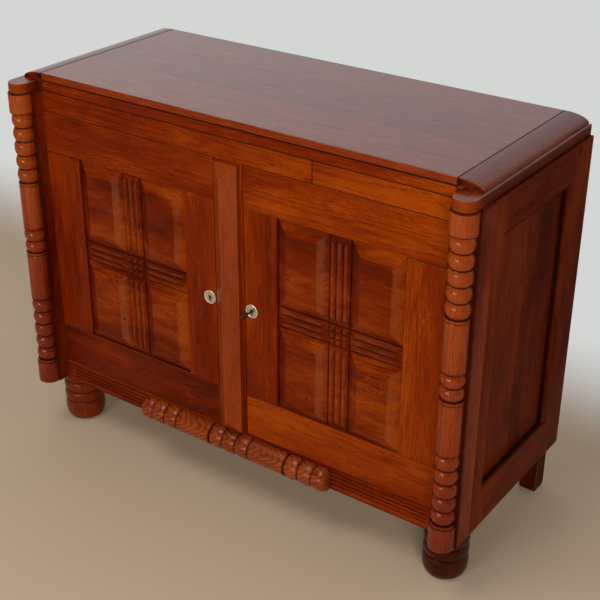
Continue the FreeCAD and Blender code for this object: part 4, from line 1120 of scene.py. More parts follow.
@dataclass
class Top:
    """The top: three jointed boards, two bullnose end boards and the thin frame under them."""

    tongue: float = 0.008
    arris: float = 0.0022
    joint_arris: float = 0.00035
    end_arris: float = 0.0012
    plank_shares: Tuple[float, ...] = (0.0, 0.36, 0.69, 1.0)
    plank_tones: Tuple[float, ...] = (0.2, -0.1, 0.1)
    plank_margin: float = 0.006
    plank_rub: float = 0.3
    end_flat: float = 0.004
    end_power: float = 1.06
    end_foot: float = 0.0008
    end_round: float = 0.0014
    ear_radius: float = 0.0265
    ear_points: int = 49
    ear_round: float = 0.0018
    rail_arris: float = 0.0016

    def build(self) -> None:
        """Builds and dresses every piece of the top."""
        self._boards()
        for side in Side:
            self._end_board(side)
            self._under_side(side)
        node = "under_top_front"
        skin = planed_board(Limits.of(node), Axis.X, self.rail_arris, seams=(0, 3))
        timber = Timber(node, Axis.X, Axis.Y, 0.04, tone=-0.05, fade=0.2)
        Shell("under_top_front_rail").add_skin(skin, timber).build(FINISH.frame, node)

    def _boards(self) -> None:
        """The three boards of the top, front to back, with fine joints between them."""
        limits = Limits.of("top_board").trimmed(Axis.X, self.tongue, self.tongue)
        shell = Shell("top_boards")
        places = limits.low[1] + np.array(self.plank_shares) * (limits.high[1] - limits.low[1])
        last = len(places) - 2
        for index, tone in enumerate(self.plank_tones):
            y0, y1 = places[index], places[index + 1]
            front = self.arris if index == 0 else self.joint_arris
            back = self.arris if index == last else self.joint_arris
            corners = rectangle((y0, limits.low[2]), (y1, limits.high[2]))
            outline = Outline.rounded(corners, np.array([front, back, back, front]), seams=(0,))
            nearest = np.where(outline.points[:, 0] > (y0 + y1) / 2.0, back, front)
            outline.worn *= self.plank_rub * (nearest == self.arris)
            skin = planed(outline, Axis.X, limits.low[0], limits.high[0], self.end_arris,
                          margin=self.plank_margin)
            shell.add_skin(skin, Timber(f"top_plank_{index}", Axis.X, Axis.Z, 0.05, tone=tone))
        shell.build(FINISH.top, "top_board")

    def _end_board(self, side: Side) -> None:
        """An end board: flat, then a quarter ellipse that falls to its outer edge.

        Args:
            side: Which side it is on.
        """
        node = f"top_end_{side.word}"
        limits = Limits.of(node)
        inner, outer = (limits.low[0], limits.high[0])[::side.value]
        z0, z1 = limits.low[2], limits.high[2]
        turn = np.linspace(0.0, QUARTER_TURN, 22)[::-1]
        crest = inner + side.value * self.end_flat
        across = crest + (outer - crest) * np.cos(turn)
        rise = z0 + (z1 - z0) * np.sin(turn) ** self.end_power
        ease = self.end_arris * side.value
        points = np.concatenate([
            np.stack([across, rise], 1)[:-1],
            [[outer, z0 + self.end_foot], [outer - ease, z0], [inner + ease, z0],
             [inner, z0 + self.end_arris], [inner, z1 - self.end_arris], [inner + ease, z1],
             [(inner + crest) / 2.0, z1]],
        ])
        worn, soil = np.zeros(len(points)), np.zeros(len(points))
        worn[-9:-6] = 0.7
        soil[-4:-1] = 1.0
        skin = planed(Outline(points, worn, soil), Axis.Y, limits.low[1], limits.high[1], self.end_round,
                      butted=False)
        timber = Timber(node, Axis.Y, Axis.Z, 0.045, tone=-0.3)
        Shell(f"bullnose_end_{side.word}").add_skin(skin, timber).build(FINISH.edge, node)

    def _under_side(self, side: Side) -> None:
        """A side member of the frame under the top, which ends in the round ear over the column.

        Args:
            side: Which side it is on.
        """
        node = f"under_top_side_{side.word}"
        limits = Limits.of(node)
        inner, outer = (limits.low[0], limits.high[0])[::side.value]
        front, back = limits.low[1], limits.high[1]
        turn = np.linspace(-QUARTER_TURN, QUARTER_TURN, self.ear_points)
        centre = outer - side.value * self.ear_radius
        ease = 0.001
        ear = np.stack([centre + side.value * self.ear_radius * np.sin(turn),
                        front + self.ear_radius * (1.0 - np.cos(turn))], 1)
        points = np.concatenate([ear, [
            [outer, FRONT], [outer, FRONT + 0.02], [outer, back - 0.02], [outer, back - ease],
            [outer - side.value * ease, back], [inner, back], [inner, FRONT], [ear[0, 0], FRONT]]])
        worn = np.concatenate([np.full(self.ear_points, 0.15), [0.2, 0.2, 0.2, 0.8, 0.8, 0.0, 0.0, 0.0]])
        rings, soil, worn = planed(Outline(points, worn), Axis.Z, limits.low[2], limits.high[2],
                                   self.ear_round, butted=False)
        # Painted shadow along the bottom edge under the ear, and painted shade: darker from just behind the
        # ear's front backwards, under the top.
        low_dirt_and_shade = smooth_step(limits.low[2] + 0.004, limits.low[2] + 0.001, rings[..., 2])
        tone = -1.3 + 1.6 * smooth_step(0.045, 0.020, rings[..., 1] - front)
        timber = Timber(node, Axis.Y, Axis.Z, 0.05)
        Shell(f"eared_side_{side.word}").add_rings(
            rings, timber, np.maximum(soil, 0.9 * low_dirt_and_shade), worn, tone).build(
            FINISH.edge, node)


@dataclass
class FrontFrame:
    """The front of the case: stiles, apron, centre post with its ridge, and the reeded plinth."""

    arris: float = 0.0011
    tenon: float = 0.022
    patch_start: float = 0.224
    ridge_side: float = 0.010
    ridge_hip: float = 0.030
    groove_pitch: float = 0.0105
    groove_first: float = 0.0125
    groove_count: int = 4
    groove_width: float = 0.0092
    groove_depth: float = 0.0036
    groove_stop: float = 0.020
    groove_run: float = 0.012
    ridge_blend: float = 0.0012
    ridge_blunt: float = 0.0005
    stile_margin: float = 0.014
    apron_arris: float = 0.0007

    def build(self) -> None:
        """Builds and dresses every piece of the front."""
        for side, tone in ((Side.LEFT, -0.15), (Side.RIGHT, -0.1)):
            node = f"front_stile_{side.word}"
            limits = Limits.of(node)
            # Painted shade and dirt: the stile's front, mostly hidden behind the column, is darkened.
            outline = Outline.rounded(rectangle(limits.low, limits.high), self.arris, self.stile_margin,
                                      covered=(0,))
            skin = planed(outline, Axis.Z, limits.low[2], limits.high[2], self.arris)
            timber = Timber(node, Axis.Z, Axis.Y, tone=tone)
            Shell(f"corner_stile_{side.word}").add_skin(skin, timber).build(FINISH.frame, node)
        self._apron()
        self._plinth()
        self._ridge()
        FINISH.dress("centre_post", FINISH.frame, Axis.Z, Axis.Y, -0.25)

    def _apron(self) -> None:
        """The apron, made of two lengths with a fine butt joint."""
        limits = Limits.of("apron").trimmed(Axis.X, self.tenon, self.tenon)
        first = limits.trimmed(Axis.X, 0.0, limits.high[0] - self.patch_start)
        second = limits.trimmed(Axis.X, self.patch_start - limits.low[0], 0.0)
        shell = Shell("apron_boards")
        for label, part, tone in (("apron_long", first, -0.05), ("apron_short", second, 0.80)):
            skin = planed_board(part, Axis.X, self.apron_arris, seams=(3,))
            shell.add_skin(skin, Timber(label, Axis.X, Axis.Y, tone=tone))
        shell.build(FINISH.frame, "apron")

    def _plinth(self) -> None:
        """The plinth: a face whose depth follows stopped grooves with rounded reeds between them.

        Across a groove the depth is a cosine hump, and along it the hump rises and falls near the stops.
        """
        limits = Limits.of("plinth_rail").trimmed(Axis.X, self.tenon, self.tenon)
        (x0, front, z0), (x1, back, z1) = limits.low, limits.high
        end = x1 - self.groove_stop
        ramp = self.groove_run * np.linspace(0.0, 1.0, 9)
        xs = np.concatenate([[x0], -end + ramp, end - ramp[::-1], [x1]])
        zs = np.concatenate([[z0], np.linspace(z0 + 0.001, z1 - 0.001, 110), [z1]])
        x, z = np.meshgrid(xs, zs)
        middle = z1 - self.groove_first - self.groove_pitch * np.arange(self.groove_count)
        away = np.abs(z[..., None] - middle).min(-1)
        share = np.clip(away / (self.groove_width / 2.0), 0.0, 1.0)
        hollow = 0.5 * (1.0 + np.cos(math.pi * share))
        reach = smooth_step(end, end - 0.011, np.abs(x))
        edge = np.minimum(z - z0, z1 - z)
        depth = self.groove_depth * hollow * reach + 0.0008 * smooth_step(0.001, 0.0, edge)
        # Dirt and painted shade in the grooves and at the ends by the stiles; a painted shadow along the
        # bottom edge.
        end_dirt_and_shade = 0.5 * smooth_step(0.02, 0.0, x1 - np.abs(x))
        soil = np.maximum(np.clip(hollow * reach * 0.75 + end_dirt_and_shade, 0.0, 1.0),
                          0.7 * smooth_step(0.012, 0.0, z - z0))
        worn = 0.5 * reach * (1.0 - hollow) * (np.abs(z - middle.mean()) < 0.016)
        timber = Timber("plinth_rail", Axis.X, Axis.Y, tone=-0.45)
        Shell("reeded_plinth").add_relief(
            Axis.Y.placed(front + depth, x, z), back, timber, soil, worn).build(
            FINISH.frame, "plinth_rail")

    def _ridge(self) -> None:
        """The moulding on the post: two slopes that meet in a ridge, hipped at both ends.

        The rise is the smaller of the slope's height across and the hip's height along, softly joined.
        """
        limits = Limits.of("centre_moulding")
        (_, front, z0), (half, back, z1) = limits.low, limits.high
        height = back - front
        xs = np.sort(np.concatenate([np.linspace(-half, half, 41), [-0.0012, -0.0006, 0.0006, 0.0012]]))
        ends = np.linspace(0.0, self.ridge_hip * 1.2, 30)
        zs = np.concatenate([z0 + ends, np.linspace(0.1, 0.9, 9) * (z1 - z0) + z0, z1 - ends[::-1]])
        x, z = np.meshgrid(xs, zs)
        climb = height - self.ridge_side
        slope = climb * (1.0 - np.abs(x) / half)
        end = np.minimum(z - z0, z1 - z)
        hip = climb * end / self.ridge_hip
        rise = self.ridge_side + soft_min(slope, hip, self.ridge_blend)
        rise = np.minimum(rise, height - self.ridge_blunt)
        crest_worn = smooth_step(0.0016, 0.0, np.abs(x)) * (slope < hip)
        hip_worn = 0.7 * smooth_step(0.0022, 0.0, np.abs(slope - hip))
        rim_worn = 0.4 * smooth_step(0.002, 0.0, np.minimum(half - np.abs(x), end))
        worn = np.maximum(np.maximum(crest_worn, hip_worn), rim_worn)
        timber = Timber("centre_moulding", Axis.Z, Axis.Y, 0.06, tone=0.42, fade=0.5)
        Shell("post_ridge").add_relief(
            Axis.Y.placed(back - rise, x, z), back, timber, 0.0, worn).build(
            FINISH.turned, "centre_moulding", crease=20.0)


@dataclass
class Columns:
    """The turned columns on the stiles: three groups of beads between plain lengths, cut flat behind."""

    standoff: float = 0.0045
    shaft: float = 0.0268
    crest: float = 0.02738
    groove: float = 0.0217
    capital: float = 0.02985
    capital_height: float = 0.0505
    base_height: float = 0.067
    end_beads: int = 5
    end_pitch: float = 0.0353
    middle_beads: int = 2
    middle_pitch: float = 0.031
    middle_height: float = 0.379
    round_bead: float = 2.0
    flat_bead: float = 3.4
    flat_index: int = 2
    line_drop: float = 0.008
    line_width: float = 0.0022
    line_depth: float = 0.0010
    line_ease: float = 0.0009
    gap: float = 0.0004

    def profile(self) -> Profile:
        """The column's profile from the bottom of the case to its top.

        Returns:
            The profile.
        """
        upper_top = CASE_TOP - self.capital_height
        groups = (
            (CASE_BOTTOM + self.base_height, self.end_beads, self.end_pitch),
            (CASE_BOTTOM + self.middle_height, self.middle_beads, self.middle_pitch),
            (upper_top - self.end_beads * self.end_pitch, self.end_beads, self.end_pitch),
        )
        made = Profile()
        low, low_dirt_and_shade, radius = CASE_BOTTOM, 0.0, self.capital
        for bottom, count, pitch in groups:
            line = bottom - self.line_drop
            made.plain(low, line - self.line_width / 2.0, radius, self.line_ease, low_dirt_and_shade, 0.4)
            made.cut_line(line, self.shaft - self.line_ease, self.line_width, self.line_depth)
            made.plain(line + self.line_width / 2.0, bottom - self.gap, self.shaft, self.line_ease, 0.4, 0.8)
            for index in range(count):
                fullness = self.flat_bead if index == self.flat_index else self.round_bead
                start = bottom + index * pitch
                made.bead(start, start + pitch, self.groove, self.crest, fullness)
            low, low_dirt_and_shade, radius = bottom + count * pitch + self.gap, 0.8, self.shaft
        made.plain(low, CASE_TOP, self.capital, 0.0014, 0.8, 0.8)
        return made

    def build(self) -> None:
        """Builds and dresses both columns."""
        for side in Side:
            node = f"column_{side.word}"
            middle = Limits.of(node).middle[0]
            skin = self.profile().rings(Axis.Z, middle, STILE_FRONT - self.standoff, self.standoff)
            # Painted light: the columns are lighter towards the top and darker towards their base, as the
            # light falls from above.
            timber = Timber(node, Axis.Z, Axis.Y, 0.035, tone=0.42, fade=2.6)
            Shell(f"turned_column_{side.word}").add_skin(skin, timber).build(
                FINISH.turned, node, crease=TURNED_CREASE)


@dataclass
class PlinthMoulding:
    """The half-round turned moulding on the plinth: three groups of beads and two plain lengths."""

    pitch: float = 0.039
    beads: int = 3
    plain: float = 0.108
    crest: float = 0.0309
    groove: float = 0.0268
    plain_radius: float = 0.0299
    tip: float = 0.016
    height: float = 0.0143
    gap: float = 0.0004
    ease: float = 0.0010
    fullness: float = 2.6
    outer_dome: float = 2.1
    inner_dome: float = 2.2
    ring_points: int = 56

    def profile(self) -> Profile:
        """The moulding's profile from its left tip to its right tip.

        Returns:
            The profile.
        """
        group = self.beads * self.pitch
        half = self.pitch * 0.5
        place = -(3.0 * group + 2.0 * self.plain) / 2.0
        made = Profile()
        made.dome(place, place + half, self.tip, self.crest, self.outer_dome)
        made.dome(place + half, place + self.pitch, self.crest, self.groove, self.inner_dome)
        place = self._row(made, place + self.pitch, self.beads - 1)
        for count in (self.beads, self.beads - 1):
            made.plain(place + self.gap, place + self.plain - self.gap, self.plain_radius, self.ease,
                       0.8, 0.8)
            place = self._row(made, place + self.plain, count)
        made.dome(place, place + half, self.groove, self.crest, self.inner_dome)
        made.dome(place + half, place + self.pitch, self.crest, self.tip, self.outer_dome)
        return made

    def _row(self, made: Profile, place: float, count: int) -> float:
        """Adds a row of beads.

        Args:
            made: The profile.
            place: Where the row starts.
            count: How many beads it has.

        Returns:
            Where the row ends.
        """
        for index in range(count):
            start = place + index * self.pitch
            made.bead(start, place + (index + 1) * self.pitch, self.groove, self.crest, self.fullness)
        return place + count * self.pitch

    def build(self) -> None:
        """Builds and dresses the moulding."""
        skin = self.profile().rings(Axis.X, FRONT, CASE_BOTTOM + self.height, 0.0, self.ring_points)
        timber = Timber("turned_moulding", Axis.X, Axis.Y, 0.030, -0.070, tone=0.3)
        Shell("plinth_turning").add_skin(skin, timber).build(
            FINISH.figured, "turned_moulding", crease=TURNED_CREASE)


@dataclass
class Feet:
    """The turned front feet and the square rear feet."""

    floor_radius: float = 0.038
    ring: float = 0.053
    groove: float = 0.048
    neck: float = 0.050
    bulb_height: float = 0.034
    ring_bottom: float = 0.055
    ring_pitch: float = 0.031
    rings: int = 2
    gap: float = 0.0004
    square_arris: float = 0.0018
    square_end: float = 0.0012
    square_taper: float = 0.06

    def profile(self) -> Profile:
        """A front foot's profile: a bulb on the floor, two rings and a neck.

        Returns:
            The profile.
        """
        made = Profile()
        made.dome(0.0, self.bulb_height, self.floor_radius, self.ring, 2.0)
        made.dome(self.bulb_height, self.ring_bottom, self.ring, self.groove, 2.2)
        for index in range(self.rings):
            low = self.ring_bottom + index * self.ring_pitch
            made.bead(low, low + self.ring_pitch, self.groove, self.ring, 2.4)
        neck = self.ring_bottom + self.rings * self.ring_pitch + self.gap
        made.plain(neck, CASE_BOTTOM, self.neck, 0.001, 0.9, 0.4)
        return made

    def build(self) -> None:
        """Builds and dresses the four feet."""
        # Painted light and shade: the right foot is painted dark as it stands in shade, the left one lighter
        # as it is lit.
        for side, tone in ((Side.LEFT, 0.65), (Side.RIGHT, -1.3)):
            node = f"front_foot_{side.word}"
            skin = self.profile().rings(Axis.Z, *Limits.of(node).middle[:2])
            timber = Timber(node, Axis.Z, Axis.Y, 0.04, tone=tone)
            Shell(f"turned_foot_{side.word}").add_skin(skin, timber).build(
                FINISH.foot, node, crease=TURNED_CREASE)
            self._rear(side)

    def _rear(self, side: Side) -> None:
        """A square rear foot, drawn in towards the floor.

        Args:
            side: Which side it is on.
        """
        node = f"rear_foot_{side.word}"
        limits = Limits.of(node)
        outline = Outline.rounded(rectangle(limits.low, limits.high), self.square_arris)
        skin = planed(outline, Axis.Z, 0.0, CASE_BOTTOM, self.square_end)
        taper = smooth_step(0.006, 0.0, skin.rings[..., 2:]) * self.square_taper
        skin.rings[..., :2] += (limits.middle[:2] - skin.rings[..., :2]) * taper
        timber = Timber(node, Axis.Z, Axis.Y, 0.05, tone=-1.6)
        Shell(f"square_foot_{side.word}").add_skin(skin, timber).build(FINISH.side, node)


@dataclass
class SideFrame:
    """The framed sides: mitred frame members as modelled, and a sunk panel of two jointed boards."""

    joint_share: float = 0.47
    joint_half: Range = (0.0006, 0.0002)
    joint_depth: float = 0.0004
    soil_width: float = 0.007
    groove: float = 0.0072
    board_tones: Range = (0.05, -0.45)
    frame: Tuple[Tuple[str, Axis, float], ...] = (
        ("side_front_stile", Axis.Z, 0.10), ("side_rear_stile", Axis.Z, -0.15),
        ("side_top_rail", Axis.Y, -0.1), ("side_bottom_rail", Axis.Y, -0.3))

    def build(self) -> None:
        """Dresses both frames and builds their panels."""
        for side in Side:
            for name, along, tone in self.frame:
                node = f"{name}_{side.word}"
                limits = Limits.of(node)
                # Painted shade and dirt: the parts that lie deeper than the frame's face are darkened.
                sunk = float(np.abs([limits.low[0], limits.high[0]]).max())
                FINISH.dress(node, FINISH.side, along, Axis.X, tone, sunk)
            self._panel(side)

    def _panel(self, side: Side) -> None:
        """The panel: a flat face with a fine joint, darkened along the frame as dirt and painted shade.

        Args:
            side: Which side it is on.
        """
        node = f"side_panel_{side.word}"
        limits = Limits.of(node)
        face, back = (limits.low[0], limits.high[0])[::-side.value]
        y0, y1 = limits.low[1] + self.groove, limits.high[1] - self.groove
        z0, z1 = limits.low[2] + self.groove, limits.high[2] - self.groove
        joint = y0 + (y1 - y0) * self.joint_share
        steps = np.array([0.0, 0.0015, 0.003, 0.006, 0.012])
        halves = np.array(self.joint_half)
        ys = np.sort(np.concatenate([[limits.low[1], limits.high[1]], y0 + steps, y1 - steps,
                                     joint - halves, joint + halves]))
        zs = np.sort(np.concatenate([[limits.low[2], limits.high[2]], z0 + steps, z1 - steps,
                                     np.linspace(z0 + 0.03, z1 - 0.03, 12)]))
        y, z = np.meshgrid(ys, zs)
        seam = smooth_step(*self.joint_half, np.abs(y - joint))
        rim = room_inside(y, z, (y0, y1, z0, z1))
        # Darkened along the frame as dirt and painted shade, and at the joint as a dark seam.
        soil = np.maximum(smooth_step(self.soil_width, 0.0, rim), seam * 0.8)
        x = face - side.value * seam * self.joint_depth
        tone = np.where(y < joint, *self.board_tones)
        timber = Timber(node, Axis.Z, Axis.X, 0.05)
        Shell(f"sunk_panel_{side.word}").add_relief(
            np.stack([x, y, z], -1), back, timber, soil, 0.0, tone).build(
            FINISH.side, node)


@dataclass
class BackAndInside:
    """The back, the floor, the shelf and the other plain boards that are shown as modelled."""

    def build(self) -> None:
        """Dresses every board of the back and the inside."""
        plan = (
            ("back_top_rail", Axis.X, Axis.Y, -0.1), ("back_bottom_rail", Axis.X, Axis.Y, -0.2),
            ("back_stile", Axis.Z, Axis.Y, 0.0), ("back_panels", Axis.Z, Axis.Y, 0.1),
            ("floor_board", Axis.X, Axis.Z, 0.1), ("shelf", Axis.X, Axis.Z, 0.2),
            ("shelf_cleats", Axis.Y, Axis.X, 0.0), ("foot_blocks", Axis.X, Axis.Z, -0.2),
            ("door_stops", Axis.X, Axis.Y, 0.0),
        )
        for node, along, face, tone in plan:
            FINISH.dress(node, FINISH.inside, along, face, tone)
        for node in ("strike_plates", "pivot_bushes"):
            FINISH.dress_metal(node, FINISH.brass)


@dataclass
class Door:
    """One framed door with its carved panel: four raised fields and a cross of reeds."""

    side: Side
    shades: Dict[str, Range]
    tenon: float = 0.040
    arris: float = 0.0010
    groove: float = 0.0072
    field_rise: float = 0.015
    field_bevel: float = 0.030
    reed_band_width: float = 0.053
    reed_band_height: float = 0.050
    reeds: int = 3
    reed_rise: float = 0.009
    reed_groove: float = 0.0050
    reed_flat: float = 0.40
    reed_flank: float = 0.0068
    reed_slope: float = 0.022
    reed_rub: float = 0.75
    reed_tip: Range = (0.006, 0.013)
    # Painted light and shade on the fields' bevels, by the way each bevel faces, and a painted sheen on
    # their right bevels.
    bevel_tones: Tuple[float, float, float, float] = (0.15, -0.40, 0.1, 0.75)
    outer_tone: float = 0.55
    lower_tone: float = -0.35
    bevel_haze: Range = (1.0, 0.8)
    panel_recess: float = 0.008
    bevel_step: float = 0.0015
    flat_step: float = 0.006
    reed_steps: int = 20
    reed_blend: float = 0.0006
    mitre_blend: float = 0.0012
    knot_depth: float = 0.0015
    knots: Tuple[Tuple[float, float, float], ...] = ()

    def build(self) -> None:
        """Builds and dresses every wooden piece of the door."""
        for name, along, tenon in (("top_rail", Axis.X, 0.0), ("bottom_rail", Axis.X, 0.0),
                                   ("hinge_stile", Axis.Z, self.tenon)):
            node = f"{self.side.door}_{name}"
            limits = Limits.of(node).trimmed(along, tenon, tenon)
            skin = planed_board(limits, along, self.arris, butted=tenon > 0.0)
            tone, fade = self.shades[name]
            timber = Timber(node, along, Axis.Y, tone=tone, fade=fade)
            Shell(f"{node}_board").add_skin(skin, timber).build(FINISH.frame, node, body=self.side.door)
        tone, fade = self.shades["lock_stile"]
        FINISH.dress(f"{self.side.door}_lock_stile", FINISH.frame, Axis.Z, Axis.Y, tone, fade=fade)
        self._panel()

    def _grid_lines(self, way: int, ends: Range, fields: Sequence[Range], band: Range) -> Array:
        """Grid lines across the panel, close on bevels, reeds and knots and wide on flats.

        Args:
            way: 0 across the panel and 1 up it.
            ends: The panel's own ends.
            fields: Ends of the fields.
            band: Ends of the reeds.

        Returns:
            Places of the lines in order.
        """
        bevel = np.arange(0.0, self.field_bevel * 1.12, self.bevel_step)
        lines = [ends, np.linspace(*band, self.reeds * self.reed_steps + 1)]
        lines += [knot[way] + knot[2] * np.linspace(-1.5, 1.5, 9) for knot in self.knots]
        for start, end in fields:
            count = int((end - start - 2 * bevel[-1]) / self.flat_step)
            lines += [start + bevel, np.linspace(start + bevel[-1], end - bevel[-1], max(3, count))[1:-1],
                      end - bevel[::-1]]
        return np.unique(np.concatenate(lines).round(6))

    def _crest(self, place: Array, start: float, end: float) -> Array:
        """Height of a row of reeds across it, 0 in the grooves and 1 on the narrow flat crests."""
        share = np.clip((place - start) / (end - start), 0.0, 1.0 - 1e-9) * self.reeds
        slope = (1.0 - np.abs(2.0 * (share % 1.0) - 1.0)) / (1.0 - self.reed_flat)
        return np.clip(soft_min(slope, np.ones_like(slope), 0.25), 0.0, 1.0)

    def _reeded(self, x: Array, z: Array, block: Block, ways: Sequence[Axis]) -> Tuple[Array, ...]:
        """A block of reeds that slopes at its ends, or of small pyramids where reeds run both ways.

        The height is the smallest of the reeds' profile, the steep flanks beside the grooves at the edge
        and the long slopes at the ends.

        Args:
            x: Places across the panel.
            z: Places up the panel.
            block: Lowest and highest x, then z.
            ways: Axes that reeds are counted across.

        Returns:
            Height, dirt and painted shade, wear and painted sheen, and tone at each place, for places inside
            the block.
        """
        x0, x1, z0, z1 = block
        spans = {Axis.X: (x, x0, x1), Axis.Z: (z, z0, z1)}
        reach = {axis: np.minimum(place - low, high - place) for axis, (place, low, high) in spans.items()}
        crest = np.ones_like(x)
        for axis in ways:
            crest = np.minimum(crest, self._crest(*spans[axis]))
        height = self.reed_rise - self.reed_groove * (1.0 - crest)
        for axis, room in reach.items():
            run = self.reed_flank if axis in ways else self.reed_slope
            height = soft_min(height, self.reed_rise * room / run, self.reed_blend)
        tips = [smooth_step(*self.reed_tip, room) for axis, room in reach.items() if axis not in ways]
        edge = np.minimum(reach[Axis.X], reach[Axis.Z])
        # The grooves and the foot of the block are darkened as dirt and painted shade.
        grooved = 0.85 * smooth_step(0.42, 0.04, crest) * math.prod(tips)
        soil = np.maximum(grooved, 0.9 * smooth_step(0.0028, 0.0, edge))
        high = smooth_step(0.55, 0.9, height / self.reed_rise)
        worn = self.reed_rub * smooth_step(0.70, 1.0, crest) * high
        return np.maximum(height, 0.0), soil, worn, np.zeros_like(x)

    def _field(self, x: Array, z: Array, block: Block) -> Tuple[Array, ...]:
        """A raised field: it rises with the distance inside its edges up to its height.

        Args:
            x: Places across the panel.
            z: Places up the panel.
            block: Lowest and highest x, then z.

        Returns:
            Height, dirt and painted shade, wear and painted sheen, and painted light and shade of the bevels
            at each place, for places inside the field.
        """
        x0, x1, z0, z1 = block
        mitre = self.mitre_blend
        inside = soft_min(soft_min(x - x0, x1 - x, mitre), soft_min(z - z0, z1 - z, mitre), mitre)
        share = np.clip(inside / self.field_bevel, 0.0, 2.0)
        height = self.field_rise * np.clip(soft_min(share, np.ones_like(share), 0.06), 0.0, 1.0)
        edge = room_inside(x, z, block)
        # Darkened by the frame and along the bevel's crease as dirt and painted shade.
        soil = np.maximum(0.9 * smooth_step(0.006, 0.0, edge),
                          0.30 * smooth_step(0.10, 0.0, np.abs(share - 1.0)))
        middle_x, _, middle_z = Limits.of(f"{self.side.door}_panel").middle
        # Painted light and shade: bevels along the top edge much lighter, those along the right and bottom a
        # little lighter, those along the left darker, the right-hand fields' right bevels lighter still and
        # the lower fields' top bevels darker, as the light falls.
        right, left, low, high = [reach <= edge for reach in (x1 - x, x - x0, z - z0, z1 - z)]
        painted_bevel_light = sum(tone * near for tone, near in zip(self.bevel_tones, (right, left, low, high)))
        painted_bevel_light = painted_bevel_light + high * self.lower_tone * (z1 < middle_z) + right * self.outer_tone * (x1 > middle_x)
        # Painted sheen: a pale reflection painted on the right bevels, stronger on the left-hand fields.
        painted_sheen = self.bevel_haze[0] if x1 < middle_x else self.bevel_haze[1]
        worn = painted_sheen * smooth_step(-0.002, 0.018, x1 - x) * smooth_step(1.02, 0.86, share) * right
        return height, soil, worn, smooth_step(1.06, 0.94, share) * painted_bevel_light

    def _panel(self) -> None:
        """The carved panel: a relief of four fields, four arms of reeds and nine pyramids."""
        node = f"{self.side.door}_panel"
        limits = Limits.of(node)
        (left, _, bottom), (right, back, top) = limits.low, limits.high
        x0, x1, z0, z1 = left + self.groove, right - self.groove, bottom + self.groove, top - self.groove
        middle_x, middle_z = (x0 + x1) / 2.0, (z0 + z1) / 2.0
        half_x, half_z = self.reed_band_width / 2.0, self.reed_band_height / 2.0
        band_x, band_z = (middle_x - half_x, middle_x + half_x), (middle_z - half_z, middle_z + half_z)
        columns, rows = [(x0, band_x[0]), (band_x[1], x1)], [(z0, band_z[0]), (band_z[1], z1)]
        x, z = np.meshgrid(self._grid_lines(0, (left, right), columns, band_x),
                           self._grid_lines(1, (bottom, top), rows, band_z))
        arms = [((*band_x, *row), (Axis.X,)) for row in rows]
        arms += [((*column, *band_z), (Axis.Z,)) for column in columns]
        arms.append(((*band_x, *band_z), (Axis.X, Axis.Z)))
        carved = [(block, self._reeded(x, z, block, ways)) for block, ways in arms]
        fields = [(*column, *row) for column in columns for row in rows]
        carved += [(block, self._field(x, z, block)) for block in fields]
        height, soil, worn, tone = [np.zeros_like(x) for _ in range(4)]
        for block, made in carved:
            within = room_inside(x, z, block) >= -1e-6
            height, soil, worn, tone = [
                np.where(within, new, old) for new, old in zip(made, (height, soil, worn, tone))]
        board_tone, board_fade = self.shades["panel"]
        tone = tone + board_tone + board_fade * (z - middle_z)
        # Painted shade: where the panel runs into the frame's groove it is painted fully dark.
        tongue = room_inside(x, z, (x0, x1, z0, z1)) <= 0.0
        height, soil = np.where(tongue, 0.0, height), np.where(tongue, 1.0, soil)
        for knot_x, knot_z, size in self.knots:
            away = np.hypot(x - knot_x, z - knot_z)
            height = height - self.knot_depth * smooth_step(size, 0.0, away)
            soil = np.maximum(soil, smooth_step(size * 1.3, size * 0.4, away))
        face = FRONT + self.panel_recess
        timber = Timber(node, Axis.X, Axis.Y, 0.045)
        Shell(f"{self.side.door}_carved_panel").add_relief(
            Axis.Y.placed(face - height, x, z), back, timber, soil, worn, tone).build(
            FINISH.panel, node, body=self.side.door, crease=24.0)


